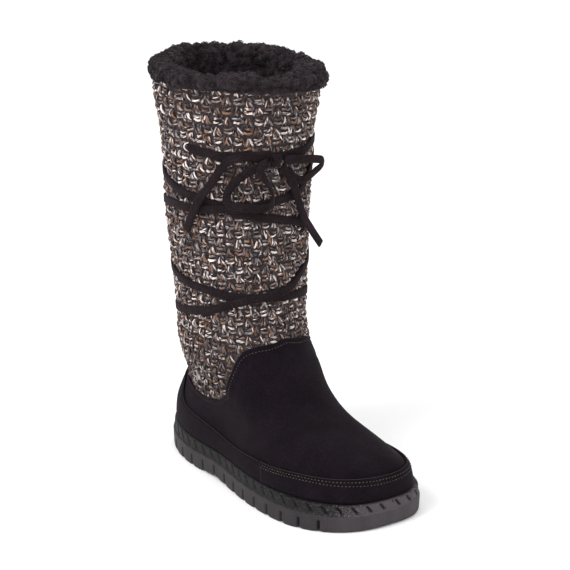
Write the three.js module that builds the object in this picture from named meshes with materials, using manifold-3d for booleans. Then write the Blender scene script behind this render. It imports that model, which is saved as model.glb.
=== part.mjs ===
// Mid-calf winter boot, right foot: rubber cup sole, suede foot, knitted shaft, fleece cuff and wrapped lace.
// Millimetres, +Z up, +Y to the toe, +X to the outer side of the foot.
import * as THREE from 'three';
import Module from 'manifold-3d';

const wasm = await Module();
wasm.setup();
const { Manifold, Mesh } = wasm;

// Driving sizes
const COLUMNS = 48;             // columns round the boot
const SUEDE_OUT = 0.8;          // suede stands proud of the knit
const SUEDE_IN = -1.6;
const KNIT_IN = -4.0;
const SEAT = 0.4;               // clear gap between pieces that meet
const OVERLAY = 1.6;            // thickness of the bands round the foot
const FLOOR_Z = 14.2;           // inside floor of the cup sole
const CUP_WALL = 3.6;           // thickness of the cup wall at its rim
const ARCH_RISE = 2.5;
const TOE_SPRING = 1.0;
const TOE_FLARE = 3.0;          // extra reach of the sole round the toe
const SLIT = { width: 2.2, height: 9.5, depth: 7.0, pitch: 17, first: 2 };
const LACE = { width: 6.5, thick: 2.0, seat: 0.6 };
const INSOLE_THICK = 3.0;

// One row per section loop from the sole up to the collar: front, back and side reach, and their heights
const SECTIONS = [
  { yF: 119, zF: 14.6, yB: -121.5, zB: 14.6, xL: 54, xM: -45, zS: 14.6,
    yW: 45, nF: 2.9, nB: 2.6, dL: 6.5, dM: 9 },
  { yF: 122, zF: 21, yB: -124.5, zB: 25.5, xL: 55, xM: -46, zS: 23.5,
    yW: 45, nF: 2.9, nB: 2.6, dL: 6.5, dM: 9 },
  { yF: 121, zF: 39, yB: -124, zB: 42, xL: 53, xM: -45, zS: 36, yW: 42, nF: 2.6, nB: 2.6, dL: 6, dM: 8 },
  { yF: 114, zF: 47, yB: -121, zB: 53, xL: 50, xM: -39, zS: 46, yW: 35, nF: 2.4, nB: 2.5, dL: 5, dM: 6 },
  { yF: 99, zF: 52, yB: -118, zB: 61, xL: 47, xM: -35, zS: 55, yW: 22, nF: 2.3, nB: 2.4, dL: 3, dM: 4 },
  { yF: 80, zF: 57.5, yB: -116, zB: 69, xL: 45, xM: -34, zS: 63, yW: 8, nF: 2.1, nB: 2.4, dL: 1, dM: 2 },
  { yF: 61, zF: 63.5, yB: -115, zB: 77, xL: 44, xM: -36, zS: 71.5, yW: -10, nF: 2, nB: 2.4, dL: 0, dM: 0 },
  { yF: 43, zF: 71.5, yB: -117, zB: 86, xL: 46, xM: -39.5, zS: 82, yW: -28, nF: 2, nB: 2.3, dL: 0, dM: 0 },
  { yF: 26, zF: 87, yB: -118.5, zB: 97, xL: 48.5, xM: -44, zS: 95, yW: -42, nF: 2, nB: 2.2, dL: 0, dM: 0 },
  { yF: 10, zF: 104.5, yB: -119, zB: 109, xL: 50, xM: -46, zS: 108, yW: -52, nF: 2, nB: 2.1, dL: 0, dM: 0 },
  { yF: 1, zF: 124, yB: -118, zB: 123, xL: 50, xM: -48, zS: 122, yW: -58, nF: 2, nB: 2, dL: 0, dM: 0 },
  { yF: -1, zF: 142, yB: -119, zB: 142, xL: 51, xM: -49, zS: 142, yW: -60, nF: 2, nB: 2, dL: 0, dM: 0 },
  { yF: 1.5, zF: 175, yB: -122.5, zB: 175, xL: 54, xM: -49.5, zS: 175, yW: -60, nF: 2, nB: 2, dL: 0, dM: 0 },
  { yF: 3, zF: 210, yB: -126.5, zB: 210, xL: 57.5, xM: -50, zS: 210, yW: -60, nF: 2, nB: 2, dL: 0, dM: 0 },
  { yF: 5.5, zF: 250, yB: -128, zB: 250, xL: 58.5, xM: -52, zS: 250, yW: -60, nF: 2, nB: 2, dL: 0, dM: 0 },
  { yF: 7, zF: 285, yB: -132, zB: 285, xL: 61, xM: -54, zS: 285, yW: -60, nF: 2, nB: 2, dL: 0, dM: 0 },
  { yF: 10, zF: 305, yB: -135.5, zB: 304, xL: 64.5, xM: -57, zS: 303, yW: -60, nF: 2, nB: 2, dL: 0, dM: 0 },
  { yF: 12.5, zF: 321, yB: -137.5, zB: 321, xL: 66, xM: -59, zS: 321, yW: -60, nF: 2, nB: 2, dL: 0, dM: 0 },
];
const TOP = SECTIONS.length - 1;
const RIM = 1;

// Edge of the suede on the knit: section number against degrees round from the toe, outer side first
const SUEDE_EDGE = [
  { deg: 0, w: 9.75 }, { deg: 17, w: 9.6 }, { deg: 28, w: 9.54 }, { deg: 36, w: 9.43 },
  { deg: 42, w: 9.26 }, { deg: 48, w: 8.97 }, { deg: 55, w: 8.54 }, { deg: 63, w: 8.03 },
  { deg: 73, w: 7.4 }, { deg: 85, w: 6.68 }, { deg: 94, w: 6.02 }, { deg: 103, w: 5.25 },
  { deg: 110, w: 4.83 }, { deg: 117, w: 4.57 }, { deg: 125, w: 4.45 }, { deg: 136, w: 4.5 },
  { deg: 150, w: 4.7 }, { deg: 165, w: 4.9 }, { deg: 180, w: 4.95 },
];
// Top edge of the front and the rear band; the rear one climbs at the heel into a counter
const FRONT_BAND_TOP = [{ deg: 0, w: 2.05 }, { deg: 37, w: 2.15 }, { deg: 66, w: 2.3 }, { deg: 90, w: 2.25 }];
const REAR_BAND_TOP = [
  { deg: 90, w: 2.2 }, { deg: 100, w: 2.05 }, { deg: 110, w: 2.25 }, { deg: 118, w: 2.4 },
  { deg: 127, w: 2.42 }, { deg: 134, w: 2.5 }, { deg: 140, w: 2.75 }, { deg: 144, w: 3.2 },
  { deg: 149, w: 3.85 }, { deg: 156, w: 4.15 }, { deg: 168, w: 4.3 }, { deg: 180, w: 4.35 },
];
const BAND_SEAM = 90;
// The collar is cut on a slant: highest at this angle, from this height up
const COLLAR = { deg: 50, rise: 6.5, from: 275, to: 321 };

const rad = (deg) => (deg * Math.PI) / 180;
const mix = (a, b, t) => a + (b - a) * t;

// Smooth value through a table at a fractional row
function spline(values, t) {
  const last = values.length - 1;
  const i = Math.min(Math.max(Math.floor(t), 0), last - 1);
  const f = t - i;
  const p0 = values[Math.max(i - 1, 0)];
  const p1 = values[i];
  const p2 = values[i + 1];
  const p3 = values[Math.min(i + 2, last)];
  const m1 = (p2 - p0) / 2;
  const m2 = (p3 - p1) / 2;
  const f2 = f * f;
  const f3 = f2 * f;
  return (2 * f3 - 3 * f2 + 1) * p1 + (f3 - 2 * f2 + f) * m1 + (3 * f2 - 2 * f3) * p2 + (f3 - f2) * m2;
}
const COLUMN_NAMES = Object.keys(SECTIONS[0]);
const columnOf = (name) => SECTIONS.map((row) => row[name]);
const SECTION_TABLE = Object.fromEntries(COLUMN_NAMES.map((name) => [name, columnOf(name)]));
function sectionAt(w) {
  return Object.fromEntries(COLUMN_NAMES.map((name) => [name, spline(SECTION_TABLE[name], w)]));
}

// Point of a section loop; the angle runs from the toe by the outer side to the heel
function loopPoint(s, phi) {
  const c = Math.cos(phi);
  const d = Math.sin(phi);
  const n = c > 0 ? s.nF : s.nB;
  const cs = Math.abs(c) ** (2 / n);
  const sn = Math.abs(d) ** (2 / n);
  const y = c > 0 ? s.yW + (s.yF - s.yW) * cs : s.yW - (s.yW - s.yB) * cs;
  const dip = Math.exp(-(((y + 18) / 42) ** 2));
  const side = Math.min(1, sn * 1.2);
  const x = d > 0 ? sn * s.xL - s.dL * dip * side : sn * s.xM + s.dM * dip * side;
  const z = mix(s.zS, c > 0 ? s.zF : s.zB, c * c) + collarSlant(phi, s);
  return new THREE.Vector3(x + toeLean(y, s), y, z);
}
function collarSlant(phi, s) {
  const share = Math.min(1, Math.max(0, (s.zS - COLLAR.from) / (COLLAR.to - COLLAR.from)));
  return COLLAR.rise * share ** 2 * Math.cos(phi - rad(COLLAR.deg));
}
// The toe swings to the inner side, as a foot does
function toeLean(y, s) {
  const t = Math.max(0, (y - 10) / 112);
  return -13 * t * t * Math.min(1, Math.max(0, (130 - s.zS) / 60));
}
function skin(phi, w, offset) {
  const p = loopPoint(sectionAt(w), phi);
  const h = 0.004;
  const a = loopPoint(sectionAt(w), phi + h).sub(loopPoint(sectionAt(w), phi - h));
  const lo = Math.max(w - 0.02, 0);
  const hi = Math.min(w + 0.02, TOP);
  const b = loopPoint(sectionAt(hi), phi).sub(loopPoint(sectionAt(lo), phi));
  const normal = b.cross(a).normalize();
  normal.z *= Math.min(1, TOP - w);
  return p.addScaledVector(normal.normalize(), offset);
}

// Value of a table of degrees, the same on both sides
function edgeAt(table, phi) {
  const deg = Math.abs(THREE.MathUtils.radToDeg(Math.atan2(Math.sin(phi), Math.cos(phi))));
  const last = table.length - 1;
  let i = 0;
  while (i < last - 1 && deg > table[i + 1].deg) i += 1;
  const t = i + (deg - table[i].deg) / (table[i + 1].deg - table[i].deg);
  return spline(table.map((row) => row.w), t);
}
const suedeEdge = (phi) => edgeAt(SUEDE_EDGE, phi);

function geometryOf(points, faces) {
  const geometry = new THREE.BufferGeometry();
  const numbers = points.flatMap((p) => [p.x, p.y, p.z]);
  geometry.setAttribute('position', new THREE.Float32BufferAttribute(numbers, 3));
  geometry.setIndex(faces.flat());
  return geometry;
}

// Closed wall between two offsets of the skin; angles wrap round when the wall is a full ring
function wall({ angles, ring, level, rows, outer, inner }) {
  const points = [];
  const faces = [];
  const count = angles.length;
  const id = (layer, row, col) => (layer * (rows + 1) + row) * count + (col % count);
  [outer, inner].forEach((offset) => {
    for (let row = 0; row <= rows; row += 1) {
      angles.forEach((phi) => points.push(skin(phi, level(phi, row), offset)));
    }
  });
  const quad = (a, b, c, d) => faces.push([a, b, c], [a, c, d]);
  const spans = ring ? count : count - 1;
  for (let col = 0; col < spans; col += 1) {
    for (let row = 0; row < rows; row += 1) {
      quad(id(0, row, col), id(0, row + 1, col), id(0, row + 1, col + 1), id(0, row, col + 1));
      quad(id(1, row, col), id(1, row, col + 1), id(1, row + 1, col + 1), id(1, row + 1, col));
    }
    quad(id(0, rows, col), id(1, rows, col), id(1, rows, col + 1), id(0, rows, col + 1));
    quad(id(0, 0, col), id(0, 0, col + 1), id(1, 0, col + 1), id(1, 0, col));
  }
  if (!ring) {
    for (let row = 0; row < rows; row += 1) {
      quad(id(0, row, 0), id(1, row, 0), id(1, row + 1, 0), id(0, row + 1, 0));
      const e = count - 1;
      quad(id(0, row, e), id(0, row + 1, e), id(1, row + 1, e), id(1, row, e));
    }
  }
  return geometryOf(points, faces);
}

// Closed stack of rings; the first and last rings are filled with rungs from side to side
function stack(rings) {
  const points = rings.flat();
  const faces = [];
  const count = rings[0].length;
  const id = (row, col) => row * count + (col % count);
  for (let row = 0; row < rings.length - 1; row += 1) {
    for (let col = 0; col < count; col += 1) {
      faces.push([id(row, col), id(row + 1, col), id(row + 1, col + 1)]);
      faces.push([id(row, col), id(row + 1, col + 1), id(row, col + 1)]);
    }
  }
  const half = count / 2;
  [0, rings.length - 1].forEach((row) => {
    const flip = row === 0;
    const add = (a, b, c) => faces.push(flip ? [a, b, c] : [a, c, b]);
    for (let col = 0; col < half; col += 1) {
      const a = id(row, col);
      const b = id(row, col + 1);
      const c = id(row, count - col - 1);
      const d = id(row, count - col);
      if (col > 0) add(a, b, d);
      if (col < half - 1) add(b, c, d);
    }
  });
  return geometryOf(points, faces);
}

// Closed ring of one repeated section, given as a list of points for each angle
function hoop(sections) {
  const points = sections.flat();
  const faces = [];
  const per = sections[0].length;
  const id = (s, k) => (s % sections.length) * per + (k % per);
  for (let s = 0; s < sections.length; s += 1) {
    for (let k = 0; k < per; k += 1) {
      faces.push([id(s, k), id(s, k + 1), id(s + 1, k + 1)], [id(s, k), id(s + 1, k + 1), id(s + 1, k)]);
    }
  }
  return geometryOf(points, faces);
}

const ringAngles = Array.from({ length: COLUMNS }, (_, i) => (i * 2 * Math.PI) / COLUMNS);
// Angles of a part ring: its two ends and every column of the full ring between them
const spanAngles = (from, to) => {
  const step = 360 / COLUMNS;
  const inside = [];
  for (let deg = Math.ceil((from + 0.1) / step) * step; deg < to - 0.1; deg += step) inside.push(deg);
  return [from, ...inside, to].map(rad);
};

// Joining and cutting
function solidOf(geometry) {
  const position = geometry.getAttribute('position');
  const mesh = new Mesh({
    numProp: 3,
    vertProperties: Float32Array.from(position.array),
    triVerts: Uint32Array.from(geometry.getIndex().array),
  });
  mesh.merge();
  return new Manifold(mesh);
}
function geometryFrom(solid) {
  const mesh = solid.getMesh();
  const geometry = new THREE.BufferGeometry();
  geometry.setAttribute('position', new THREE.Float32BufferAttribute(mesh.vertProperties, 3));
  geometry.setIndex(Array.from(mesh.triVerts));
  return geometry;
}

// Underside of the sole: raised arch and a lifted toe
function underside(y) {
  const arch = ARCH_RISE * Math.exp(-(((y + 28) / 22) ** 2) * 2);
  const toe = TOE_SPRING * Math.max(0, (y - 92) / 36) ** 2;
  return arch + toe;
}

// Cup sole with a step below its rim and upright slits round the sides
function outsoleGeometry() {
  const base = sectionAt(RIM);
  const outline = (phi, grow, z) => {
    const p = skin(phi, RIM, 0);
    const h = 0.004;
    const t = loopPoint(base, phi + h).sub(loopPoint(base, phi - h));
    const out = new THREE.Vector3(-t.y, t.x, 0).normalize();
    const flare = TOE_FLARE * Math.min(1, Math.max(0, (p.y - 15) / 65)) ** 2;
    p.addScaledVector(out, grow + flare);
    p.z = z;
    return p;
  };
  const rim = SUEDE_OUT + SEAT + CUP_WALL;
  const rings = [];
  const bottom = (grow, lift) => ringAngles.map((phi) => {
    const p = outline(phi, grow, 0);
    p.z = underside(p.y) + lift;
    return p;
  });
  rings.push(bottom(rim - 0.9, 0));
  rings.push(bottom(rim, 1.3));
  const side = (grow, share) => ringAngles.map((phi) => {
    const p = outline(phi, grow, 0);
    p.z = mix(underside(p.y) + 1.3, skin(phi, RIM, 0).z, share);
    return p;
  });
  rings.push(side(rim + 0.4, 0.55));
  rings.push(side(rim - 0.7, 0.62));
  rings.push(side(rim - 0.9, 0.94));
  rings.push(side(rim - 1.6, 1.0));
  rings.push(ringAngles.map((phi) => skin(phi, RIM, SUEDE_OUT + SEAT)));
  rings.push(ringAngles.map((phi) => skin(phi, 0.5, SUEDE_OUT + SEAT)));
  rings.push(ringAngles.map((phi) => {
    const p = skin(phi, 0, SUEDE_OUT + SEAT);
    p.z = FLOOR_Z;
    return p;
  }));
  let solid = solidOf(stack(rings));

  // Slits at an even pitch from the outer toe round the heel to the inner toe
  const path = [];
  for (let deg = 48; deg <= 312; deg += 1) path.push(outline(rad(deg), rim, 0));
  let walked = 0;
  let next = SLIT.first;
  for (let i = 1; i < path.length; i += 1) {
    const step = path[i].distanceTo(path[i - 1]);
    walked += step;
    if (walked >= next) {
      const along = path[i].clone().sub(path[i - 1]);
      const box = new THREE.BoxGeometry(SLIT.width, SLIT.depth * 2, SLIT.height * 2);
      box.rotateZ(Math.atan2(along.y, along.x));
      box.translate(path[i].x, path[i].y, underside(path[i].y));
      solid = solid.subtract(solidOf(plain(box)));
      next += SLIT.pitch;
    }
  }
  return geometryFrom(solid);
}
function plain(geometry) {
  const copy = new THREE.BufferGeometry();
  copy.setAttribute('position', geometry.getAttribute('position'));
  const count = geometry.getAttribute('position').count;
  copy.setIndex(geometry.getIndex() ?? Array.from({ length: count }, (_, i) => i));
  return copy;
}

function insoleGeometry() {
  const reach = SUEDE_IN - 0.6;
  const level = (z) => ringAngles.map((phi) => {
    const p = skin(phi, 0.1, reach);
    p.z = z;
    return p;
  });
  return stack([level(FLOOR_Z + 0.3), level(FLOOR_Z + 0.3 + INSOLE_THICK)]);
}

// Fleece roll on the collar: radial reach and height over the shaft top for each corner of its section
const CUFF_SECTION = [
  { r: 0.6, h: 0.3 }, { r: 3.6, h: 2 }, { r: 5, h: 6.5 }, { r: 3.8, h: 12 }, { r: 0, h: 15.5 },
  { r: -4, h: 16.5 }, { r: -8.5, h: 15 }, { r: -11.5, h: 11.5 }, { r: -12.5, h: 6.5 }, { r: -11.5, h: 2 },
  { r: -8, h: 0.3 },
];
// How the roll swells round the collar: extra outward reach, and share of its height
const CUFF_SWELL = [
  { deg: 0, bulge: 0.3, rise: 0.65 }, { deg: 15, bulge: 0, rise: 0.4 }, { deg: 30, bulge: 0, rise: 0.5 },
  { deg: 45, bulge: 0, rise: 0.5 }, { deg: 60, bulge: -0.3, rise: 0.4 }, { deg: 75, bulge: -1, rise: 0.46 },
  { deg: 90, bulge: -2, rise: 0.6 }, { deg: 120, bulge: -4, rise: 0.66 },
  { deg: 150, bulge: -2.8, rise: 0.76 }, { deg: 168, bulge: 0, rise: 1.03 },
  { deg: 192, bulge: 0, rise: 1.04 }, { deg: 215, bulge: 0, rise: 1.06 },
  { deg: 240, bulge: 0, rise: 1.24 }, { deg: 262, bulge: 0, rise: 1.08 },
  { deg: 290, bulge: -0.8, rise: 0.95 }, { deg: 318, bulge: -0.6, rise: 0.95 },
  { deg: 342, bulge: 0, rise: 0.82 }, { deg: 360, bulge: 0.3, rise: 0.65 },
];
function swellAt(phi) {
  const deg = ((phi * 180) / Math.PI + 360) % 360;
  let i = 0;
  while (deg > CUFF_SWELL[i + 1].deg) i += 1;
  const t = i + (deg - CUFF_SWELL[i].deg) / (CUFF_SWELL[i + 1].deg - CUFF_SWELL[i].deg);
  return { bulge: spline(CUFF_SWELL.map((s) => s.bulge), t), rise: spline(CUFF_SWELL.map((s) => s.rise), t) };
}
function cuffGeometry() {
  return hoop(ringAngles.map((phi) => CUFF_SECTION.map((c) => {
    const p = skin(phi, TOP, 0);
    const q = skin(phi, TOP - 0.02, 1).sub(skin(phi, TOP - 0.02, 0));
    const out = new THREE.Vector3(q.x, q.y, 0).normalize();
    const swell = swellAt(phi);
    p.addScaledVector(out, c.r + swell.bulge * Math.max(0, c.r / 5));
    p.z += c.h > 2 ? c.h * swell.rise : c.h;
    return p;
  })));
}

// Pull loop behind the collar: a flat band folded into a ring
const PULL = { width: 12, low: 299, high: 333, near: 5.4, far: 14.6, band: 1.4 };
function pullGeometry() {
  const back = -skin(Math.PI, TOP, 0).y;
  const shape = new THREE.Shape();
  const capsule = (path, inset) => {
    const a = back + PULL.near + inset;
    const b = back + PULL.far - inset;
    const r = (b - a) / 2;
    const lo = PULL.low + inset + r;
    const hi = PULL.high - inset - r;
    path.moveTo(b, lo);
    path.lineTo(b, hi);
    path.absarc(a + r, hi, r, 0, Math.PI, false);
    path.lineTo(a, lo);
    path.absarc(a + r, lo, r, Math.PI, 2 * Math.PI, false);
  };
  capsule(shape, 0);
  const hole = new THREE.Path();
  capsule(hole, PULL.band);
  shape.holes.push(hole);
  const settings = { depth: PULL.width, bevelEnabled: false, curveSegments: 8 };
  const geometry = new THREE.ExtrudeGeometry(shape, settings);
  geometry.translate(0, 0, -PULL.width / 2);
  const turn = new THREE.Matrix4().makeBasis(
    new THREE.Vector3(0, -1, 0), new THREE.Vector3(0, 0, 1), new THREE.Vector3(-1, 0, 0));
  geometry.applyMatrix4(turn);
  return plain(geometry);
}

// Height along the shaft turned into a section number
function sectionAtHeight(phi, z) {
  let lo = RIM;
  let hi = TOP;
  for (let i = 0; i < 30; i += 1) {
    const mid = (lo + hi) / 2;
    if (loopPoint(sectionAt(mid), phi).z < z) lo = mid;
    else hi = mid;
  }
  return (lo + hi) / 2;
}
// Flat lace on the shaft: a four-cornered ring for each station of degrees, height, lift and facing
function laceRings(stations) {
  const at = stations.map((s) => {
    const phi = rad(s.deg);
    const w = sectionAtHeight(phi, s.z);
    const point = skin(phi, w, LACE.seat + s.lift);
    const face = rad(s.face);
    return { point, normal: skin(face, w, 1).sub(skin(face, w, 0)) };
  });
  return at.map((here, i) => {
    const along = at[Math.min(i + 1, at.length - 1)].point.clone().sub(at[Math.max(i - 1, 0)].point);
    const side = along.cross(here.normal).normalize().multiplyScalar(LACE.width / 2);
    const up = here.normal.clone().multiplyScalar(LACE.thick);
    const left = here.point.clone().add(side);
    const right = here.point.clone().sub(side);
    return [left, right, right.clone().add(up), left.clone().add(up)];
  });
}
// Closed strap through a list of rings
function strap(rings) {
  const faces = [];
  for (let i = 0; i < rings.length - 1; i += 1) {
    for (let k = 0; k < 4; k += 1) {
      const a = i * 4 + k;
      const b = i * 4 + ((k + 1) % 4);
      faces.push([a, b, b + 4], [a, b + 4, a + 4]);
    }
  }
  const e = (rings.length - 1) * 4;
  faces.push([0, 2, 1], [0, 3, 2], [e, e + 1, e + 2], [e, e + 2, e + 3]);
  return geometryOf(rings.flat(), faces);
}
// Even stations through the rows of a lace table
function stationsAt(rows, places) {
  const column = (name) => rows.map((row) => row[name] ?? 0);
  const [deg, z, lift] = ['deg', 'z', 'lift'].map(column);
  const face = rows.map((row) => row.face ?? row.deg);
  return places.map((t) => ({
    deg: spline(deg, t), z: spline(z, t), lift: Math.max(0, spline(lift, t)), face: spline(face, t),
  }));
}
const ringsOf = (rows, count) => {
  const places = Array.from({ length: count + 1 }, (_, i) => (i / count) * (rows.length - 1));
  return laceRings(stationsAt(rows, places));
};

// The lace winds down from the bow round the back, crosses twice in front and climbs back up
const OVER = LACE.thick - 0.3;
const WINDING = [
  { deg: 15, z: 272.5 }, { deg: -5, z: 272.5 }, { deg: -20, z: 273 }, { deg: -36, z: 276 },
  { deg: -70, z: 275 }, { deg: -110, z: 268 }, { deg: -150, z: 260 }, { deg: -190, z: 253 },
  { deg: -230, z: 247 }, { deg: -250, z: 243 }, { deg: -272, z: 238 }, { deg: -290, z: 235.5 },
  { deg: -308, z: 231 }, { deg: -324, z: 226 }, { deg: -340, z: 223 }, { deg: -356, z: 219.5 },
  { deg: -373, z: 215.5 }, { deg: -393, z: 208 }, { deg: -430, z: 199 }, { deg: -470, z: 188 },
  { deg: -510, z: 178 }, { deg: -550, z: 171 }, { deg: -590, z: 166 }, { deg: -617, z: 163 },
  { deg: -635, z: 160.5 }, { deg: -653, z: 159 }, { deg: -676, z: 156 }, { deg: -699, z: 155.5 },
  { deg: -718, z: 154 }, { deg: -735, z: 153 }, { deg: -753, z: 150.5 }, { deg: -790, z: 144 },
  { deg: -830, z: 136 }, { deg: -870, z: 130 }, { deg: -905, z: 127 }, { deg: -945, z: 129 },
  { deg: -973, z: 133 }, { deg: -998, z: 138 }, { deg: -1018, z: 143.5, lift: 0.6 },
  { deg: -1035, z: 150.5, lift: OVER }, { deg: -1050, z: 154.5, lift: OVER },
  { deg: -1064, z: 157, lift: OVER }, { deg: -1078, z: 159.5, lift: OVER },
  { deg: -1090, z: 163, lift: 0.6 }, { deg: -1105, z: 171 }, { deg: -1140, z: 181 },
  { deg: -1180, z: 191 }, { deg: -1220, z: 201 }, { deg: -1260, z: 210 }, { deg: -1300, z: 218 },
  { deg: -1332, z: 224 }, { deg: -1352, z: 226, lift: 0.6 }, { deg: -1371, z: 228, lift: OVER },
  { deg: -1391, z: 230, lift: OVER }, { deg: -1411, z: 232, lift: OVER },
  { deg: -1425, z: 235.5, lift: OVER }, { deg: -1441, z: 238, lift: 0.6 }, { deg: -1456, z: 241 },
  { deg: -1466, z: 250 }, { deg: -1480, z: 259 }, { deg: -1500, z: 265 }, { deg: -1520, z: 268 },
];
const TOP_BAR = [
  { deg: 78, z: 276 }, { deg: 62, z: 274.5 }, { deg: 48, z: 272.5 }, { deg: 32, z: 274 },
  { deg: 12, z: 272.5 },
];
function lacedGeometry() {
  const step = 7;
  const run = 24;
  const places = [];
  for (let i = 0; i < WINDING.length - 1; i += 1) {
    const count = Math.ceil(Math.abs(WINDING[i + 1].deg - WINDING[i].deg) / step);
    for (let k = 0; k < count; k += 1) places.push(i + k / count);
  }
  places.push(WINDING.length - 1);
  const rings = laceRings(stationsAt(WINDING, places));
  let solid = solidOf(strap(ringsOf(TOP_BAR, 10)));
  for (let i = 0; i < rings.length - 1; i += run) {
    solid = solid.add(solidOf(strap(rings.slice(i, i + run + 1))));
  }
  return geometryFrom(solid);
}

// Bow: each cord as rows of degrees, height and lift
const KNOT = { deg: 12, z: 270.5, wide: 13, tall: 9, deep: 6 };
const LOOP_LEFT = [
  { deg: 17.8, z: 270, lift: 4.9 }, { deg: 23.5, z: 267, lift: 4.9 }, { deg: 28.5, z: 264, lift: 4.9 },
  { deg: 33.5, z: 261, lift: 4.9 }, { deg: 38.5, z: 256.5, lift: 4.9 }, { deg: 42.5, z: 251.2, lift: 5 },
  { deg: 45, z: 246, lift: 5.2 }, { deg: 45.5, z: 239, lift: 5.4 }, { deg: 41.5, z: 235, lift: 5.4 },
  { deg: 32, z: 233.5, lift: 5.6 }, { deg: 23, z: 233, lift: 6.2, face: 15 },
  { deg: 17, z: 236, lift: 7, face: -15 }, { deg: 16, z: 242, lift: 7.4, face: -40 },
  { deg: 17, z: 248, lift: 7.6, face: -45 }, { deg: 19.5, z: 253, lift: 7.8, face: -40 },
  { deg: 22, z: 258, lift: 8, face: -15 }, { deg: 24, z: 263, lift: 8.4, face: 10 },
  { deg: 23, z: 267.5, lift: 8.6 }, { deg: 19, z: 271, lift: 8 },
];
const LOOP_RIGHT = [
  { deg: 5.9, z: 270.5, lift: 4.3 }, { deg: -8, z: 268.5, lift: 4.6 }, { deg: -20, z: 266.5, lift: 6.5 },
  { deg: -28, z: 264, lift: 9.5 }, { deg: -30, z: 259.5, lift: 9.5 }, { deg: -25, z: 255, lift: 6 },
  { deg: -18, z: 251, lift: 3 }, { deg: -12, z: 250, lift: 1 }, { deg: -5, z: 253.5, lift: 0.5 },
  { deg: 2, z: 260.5, lift: 0.6 },
];
const TAIL_LEFT = [
  { deg: 20, z: 273.5, lift: 2.4 }, { deg: 34, z: 273.8, lift: 2.4 }, { deg: 44, z: 271, lift: 2.4 },
  { deg: 49.5, z: 264.5, lift: 2 }, { deg: 55.5, z: 254.3, lift: 1.6 }, { deg: 60, z: 246.8, lift: 2.6 },
  { deg: 65, z: 238.9, lift: 4.6 }, { deg: 70, z: 228, lift: 4.6 }, { deg: 74.5, z: 219, lift: 3 },
  { deg: 80, z: 208, lift: 1.5 },
];
const TAIL_RIGHT = [
  { deg: 8, z: 264.8, lift: 3.2 }, { deg: 2, z: 257, lift: 3.2 }, { deg: -3.5, z: 246, lift: 3.4 },
  { deg: -8, z: 233, lift: 4.8 }, { deg: -15, z: 219, lift: 4.8 }, { deg: -28, z: 204, lift: 6, face: -16 },
  { deg: -38, z: 191, lift: 10, face: -18 },
];
function knotGeometry() {
  const phi = rad(KNOT.deg);
  const w = sectionAtHeight(phi, KNOT.z);
  const foot = skin(phi, w, LACE.seat + LACE.thick + 0.3 + KNOT.deep / 2);
  const geometry = new THREE.SphereGeometry(0.5, 14, 8);
  geometry.scale(KNOT.wide, KNOT.deep, KNOT.tall);
  geometry.rotateZ(-phi * 0.85);
  geometry.translate(foot.x, foot.y, foot.z);
  return geometryFrom(solidOf(plain(geometry)));
}

const suede = new THREE.MeshStandardMaterial({ color: 0x211e21, roughness: 0.95 });
const knit = new THREE.MeshStandardMaterial({ color: 0x6a625c, roughness: 1 });
const fleece = new THREE.MeshStandardMaterial({ color: 0x2d2a2d, roughness: 1 });
const rubber = new THREE.MeshStandardMaterial({ color: 0x444244, roughness: 0.8 });
const lace = new THREE.MeshStandardMaterial({ color: 0x1c1a1c, roughness: 0.9 });

const group = new THREE.Group();
group.name = 'winter_boot';
function add(name, geometry, material) {
  const mesh = new THREE.Mesh(geometry, material);
  mesh.name = name;
  group.add(mesh);
}

add('outsole', outsoleGeometry(), rubber);
add('insole', insoleGeometry(), fleece);
// Rows of the foot wall: even steps inside the cup and under the bands, then up to the suede edge
const FOOT_ROWS = 13;
const STEP_ROWS = 4;
const STEP = 0.5;
function footLevel(top) {
  return (phi, row) => (row <= STEP_ROWS ? row * STEP
    : mix(STEP_ROWS * STEP, top(phi), (row - STEP_ROWS) / (FOOT_ROWS - STEP_ROWS)));
}
add('vamp', wall({
  angles: ringAngles, ring: true, rows: FOOT_ROWS, outer: SUEDE_OUT, inner: SUEDE_IN,
  level: footLevel((phi) => suedeEdge(phi) - 0.02),
}), suede);
const SHAFT_ROWS = 15;
add('shaft', wall({
  angles: ringAngles, ring: true, rows: SHAFT_ROWS, outer: 0, inner: KNIT_IN,
  level: (phi, row) => mix(suedeEdge(phi) + 0.02, TOP, row / SHAFT_ROWS),
}), knit);
// Band rows start just over the sole rim and follow the steps of the foot wall
const bandLevel = (table, rows) => (phi, row) => {
  const low = RIM + 0.04;
  const first = RIM + STEP;
  if (row < 2) return row === 0 ? low : first;
  return mix(first, edgeAt(table, phi), (row - 1) / (rows - 1));
};
const onSuede = { ring: false, outer: SUEDE_OUT + SEAT + OVERLAY, inner: SUEDE_OUT + SEAT };
add('band_front', wall({
  angles: spanAngles(-BAND_SEAM, BAND_SEAM), rows: 3, ...onSuede, level: bandLevel(FRONT_BAND_TOP, 3),
}), suede);
add('band_rear', wall({
  angles: spanAngles(BAND_SEAM + 0.5, 359.5 - BAND_SEAM), rows: 6, ...onSuede,
  level: bandLevel(REAR_BAND_TOP, 6),
}), suede);
add('cuff', cuffGeometry(), fleece);
add('pull_loop', pullGeometry(), lace);
add('lace_wraps', lacedGeometry(), lace);
add('lace_knot', knotGeometry(), lace);
add('lace_loop_left', strap(ringsOf(LOOP_LEFT, 36)), lace);
add('lace_loop_right', strap(ringsOf(LOOP_RIGHT, 20)), lace);
add('lace_tail_left', strap(ringsOf(TAIL_LEFT, 20)), lace);
add('lace_tail_right', strap(ringsOf(TAIL_RIGHT, 14)), lace);

// The origin is the middle of the bottom of the whole box
group.updateMatrixWorld(true);
const middle = new THREE.Box3().setFromObject(group).getCenter(new THREE.Vector3());
group.children.forEach((mesh) => mesh.geometry.translate(-middle.x, -middle.y, 0));

export default group;
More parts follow.
